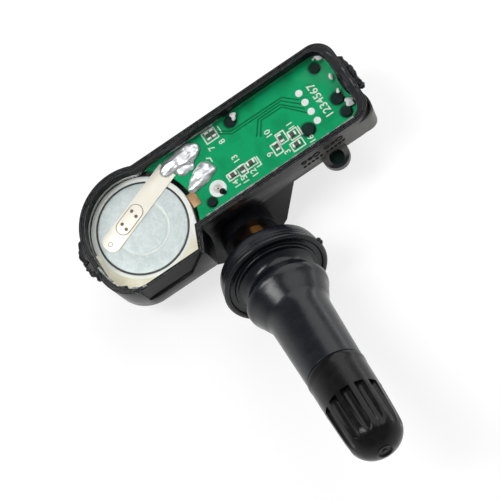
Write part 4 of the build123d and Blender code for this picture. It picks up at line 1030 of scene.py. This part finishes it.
# cap turned in one, then its flutes pressed in and their edges softened
capLook = {
    "steps": 360, "roundSteps": 4, "flutes": 12, "fluteRadius": 0.95, "fluteDepth": 0.85, "fluteFrom": 31.6,
    "fluteBlend": 0.3, "radius": 5.5, "bore": 4.05, "edge": 0.05, "edgeSharper": 30,
    "profile": [  # along from the seat, radius, rounding
        (38.7, 0, 0), (38.7, 3.98, 0), (24.6, 3.98, 0.1), (24.5, 5.4, 0.06), (24.62, 5.6, 0.06),
        (25.1, 5.62, 0.2), (26.0, 5.5, 0.3), (31.55, 5.42, 0), (31.65, 5.42, 0), (33.0, 5.38, 0),
        (34.0, 5.34, 0), (35.0, 5.3, 0), (36.0, 5.26, 0), (37.0, 5.21, 0), (38.0, 5.15, 0), (39.0, 5.08, 0.3),
        (40.0, 4.93, 0.4), (41.0, 4.5, 0.5), (41.9, 3.75, 0.5), (42.6, 2.75, 0.5), (43.0, 1.8, 0.2),
        (43.03, 1.65, 0.04), (43.2, 1.5, 0.06), (43.2, 1.25, 0.06), (42.92, 1.1, 0.06), (42.92, 0.5, 0.05),
        (43.1, 0.38, 0.06), (43.1, 0, 0)],
}
capBm = spunPiece(roundedLine(capLook["profile"], capLook["roundSteps"]), capLook["steps"])
fluteStep = 2 * pi / capLook["flutes"]
fluteCentre = capLook["radius"] - capLook["fluteDepth"] + capLook["fluteRadius"]
for vert in capBm.verts:
    reach = vert.co.to_2d().length / mm
    if vert.co.z < capLook["fluteFrom"] * mm or reach < capLook["bore"]:
        continue
    turn = atan2(vert.co.y, vert.co.x)
    off = turn - round(turn / fluteStep) * fluteStep
    sideways = fluteCentre * sin(off)
    if abs(sideways) >= capLook["fluteRadius"]:
        continue
    floorReach = fluteCentre * cos(off) - sqrt(capLook["fluteRadius"] ** 2 - sideways ** 2)
    blend = max(capLook["fluteBlend"] - abs(reach - floorReach), 0) / capLook["fluteBlend"]
    newReach = min(reach, floorReach) - blend ** 2 * capLook["fluteBlend"] / 4  # rounds the long edges
    vert.co.x *= newReach / reach
    vert.co.y *= newReach / reach
softenEdges(capBm, capLook["edge"], sharper=capLook["edgeSharper"])
bmesh.ops.transform(capBm, matrix=valveTurn, verts=capBm.verts)
bmesh.ops.recalc_face_normals(capBm, faces=capBm.faces)
addPiece("fluted_cap", capBm, [blacks["cap"]], body="cap", nodes=["valve_cap"], smooth=38)
print("valve made")

plainPieces = [  # node, piece, finish, slot, body, edge width
    ("cap_seal", "cap_seal_disc", blacks["softRubber"], "core_rubber", "cap", 0.08),
    ("core_barrel", "core_screw_barrel", metals["brass"], "core_brass", "root", 0.06),
    ("core_seal", "core_barrel_seal", blacks["softRubber"], "core_rubber", "root", 0.05),
    ("core_pin", "core_press_pin", metals["brass"], "core_brass", "core_pin_set", 0.04),
    ("core_plunger", "core_pin_plunger", metals["brass"], "core_brass", "core_pin_set", 0.04),
    ("plunger_washer", "core_pin_washer", blacks["softRubber"], "core_rubber", "core_pin_set", 0.04),
    ("mounting_screw", "clamping_screw", metals["steel"], "screw_steel", "root", 0.08),
    ("sensor_chip", "pressure_chip", blacks["sensor"], "sensor_black", "root", 0.08),
    ("port_gasket", "pressure_port_seal", blacks["softRubber"], "port_rubber", "root", 0.08),
    ("coil_core", "aerial_core", blacks["ferrite"], "ferrite", "root", 0.06),
    ("coil_winding", "aerial_winding", metals["copper"], "copper_wire", "root", 0.06),
    ("crystal_can", "crystal_case", metals["steel"], "crystal_steel", "root", 0.08),
]
for node, name, finish, slot, body, edge in plainPieces:
    addSoftened(name, node, finish, edge, body=body)

springBm = mergedCopy("core_spring", flatten=False)
spring = addPiece("core_pin_spring", springBm, [metals["steel"]], nodes=["core_spring"],
                  smooth=70)
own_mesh(spring)
print("inside parts made")

# pale floor that the eye, mirrors and clear resin see as white, with the object's shadow on it
floorLook = {"size": 4.0, "albedo": 0.36, "lift": 0.7, "drop": 0.0002}
floorBm = bmesh.new()
bmesh.ops.create_grid(floorBm, x_segments=1, y_segments=1, size=floorLook["size"] / 2,
                      matrix=Matrix.Translation((0, 0, cadBox[0].z - floorLook["drop"])))
floorMesh = bpy.data.meshes.new("floor")
floorBm.to_mesh(floorMesh)
floorBm.free()
floor = bpy.data.objects.new("floor", floorMesh)
scene.collection.objects.link(floor)


def seenRay(tree):  # 1 for what the eye, a mirror or clear resin sees
    path = tree.nodes.new("ShaderNodeLightPath")
    total = path.outputs["Is Camera Ray"]
    for ray in ("Is Glossy Ray", "Is Transmission Ray"):
        node = tree.nodes.new("ShaderNodeMath")
        node.operation = "MAXIMUM"
        tree.links.new(total, node.inputs[0])
        tree.links.new(path.outputs[ray], node.inputs[1])
        total = node.outputs["Value"]
    return total


floorFinish = bpy.data.materials.new("paleFloor")
floorFinish.use_nodes = True
floorTree = floorFinish.node_tree
floorTree.nodes.remove(floorTree.nodes["Principled BSDF"])
floorDiffuse = floorTree.nodes.new("ShaderNodeBsdfDiffuse")
floorDiffuse.inputs["Color"].default_value = (*[floorLook["albedo"]] * 3, 1)
floorGlow = floorTree.nodes.new("ShaderNodeEmission")
floorScale = floorTree.nodes.new("ShaderNodeMath")
floorScale.operation = "MULTIPLY"
floorScale.inputs[1].default_value = floorLook["lift"]
floorTree.links.new(seenRay(floorTree), floorScale.inputs[0])
floorTree.links.new(floorScale.outputs["Value"], floorGlow.inputs["Strength"])
floorSum = floorTree.nodes.new("ShaderNodeAddShader")
floorTree.links.new(floorDiffuse.outputs["BSDF"], floorSum.inputs[0])
floorTree.links.new(floorGlow.outputs["Emission"], floorSum.inputs[1])
floorTree.links.new(floorSum.outputs["Shader"], floorTree.nodes["Material Output"].inputs["Surface"])
floorMesh.materials.append(floorFinish)

# studio walls pale near the floor, dim overhead
skyLook = [(0.0, 0.85), (0.2, 0.6), (0.4, 0.28), (1.0, 0.25)]
sky = bpy.data.worlds.new("studioSky")
sky.use_nodes = True
scene.world = sky
skyTree = sky.node_tree
skyCoords = skyTree.nodes.new("ShaderNodeTexCoord")
skySplit = skyTree.nodes.new("ShaderNodeSeparateXYZ")
skyTree.links.new(skyCoords.outputs["Generated"], skySplit.inputs["Vector"])
skyTone = addRamp(skyTree, skySplit.outputs["Z"], skyLook)
skyTree.links.new(skyTone, skyTree.nodes["Background"].inputs["Color"])

lampLooks = [  # name, direction from the object, distance, width, height, watts
    ("keyBox", (-0.39, 0.18, 0.9), 0.5, 0.15, 0.28, 1.24),
    ("sideBox", (0.6, 0.42, 0.68), 0.5, 0.56, 0.56, 1.7),
    ("lowStrip", (0.968, 0.24, -0.08), 0.08, 0.08, 0.01, 0.005),
]
shotLook = {"target": (-0.001305, 0.007628, 0.0), "distance": 0.29773, "azimuth": 8.19, "elevation": 72.32,
            "roll": -41.76, "lens": 116.64, "sensor": 36, "nearest": 0.01}
shotTarget = Vector(shotLook["target"])
for name, direction, distance, width, height, watts in lampLooks:
    lamp = bpy.data.lights.new(name, "AREA")
    lamp.shape = "RECTANGLE"
    lamp.size = width
    lamp.size_y = height
    lamp.energy = watts
    lampObject = bpy.data.objects.new(name, lamp)
    lampObject.visible_camera = False
    away = Vector(direction).normalized()
    lampObject.matrix_world = (Matrix.Translation(shotTarget + away * distance)
                               @ away.to_track_quat("Z", "Y").to_matrix().to_4x4())
    scene.collection.objects.link(lampObject)

azimuth = radians(shotLook["azimuth"])
elevation = radians(shotLook["elevation"])
roll = radians(shotLook["roll"])
back = Vector((cos(elevation) * sin(azimuth), -cos(elevation) * cos(azimuth), sin(elevation)))
level = Vector((cos(azimuth), sin(azimuth), 0))
right = level * cos(roll) + back.cross(level) * sin(roll)
shot = bpy.data.cameras.new("shot")
shot.lens = shotLook["lens"]
shot.sensor_width = shotLook["sensor"]
shot.clip_start = shotLook["nearest"]
shotObject = bpy.data.objects.new("shot", shot)
shotObject.matrix_world = (Matrix.Translation(shotTarget + back * shotLook["distance"])
                           @ Matrix((right, back.cross(right), back)).transposed().to_4x4())
scene.collection.objects.link(shotObject)
scene.camera = shotObject
print("stage set")
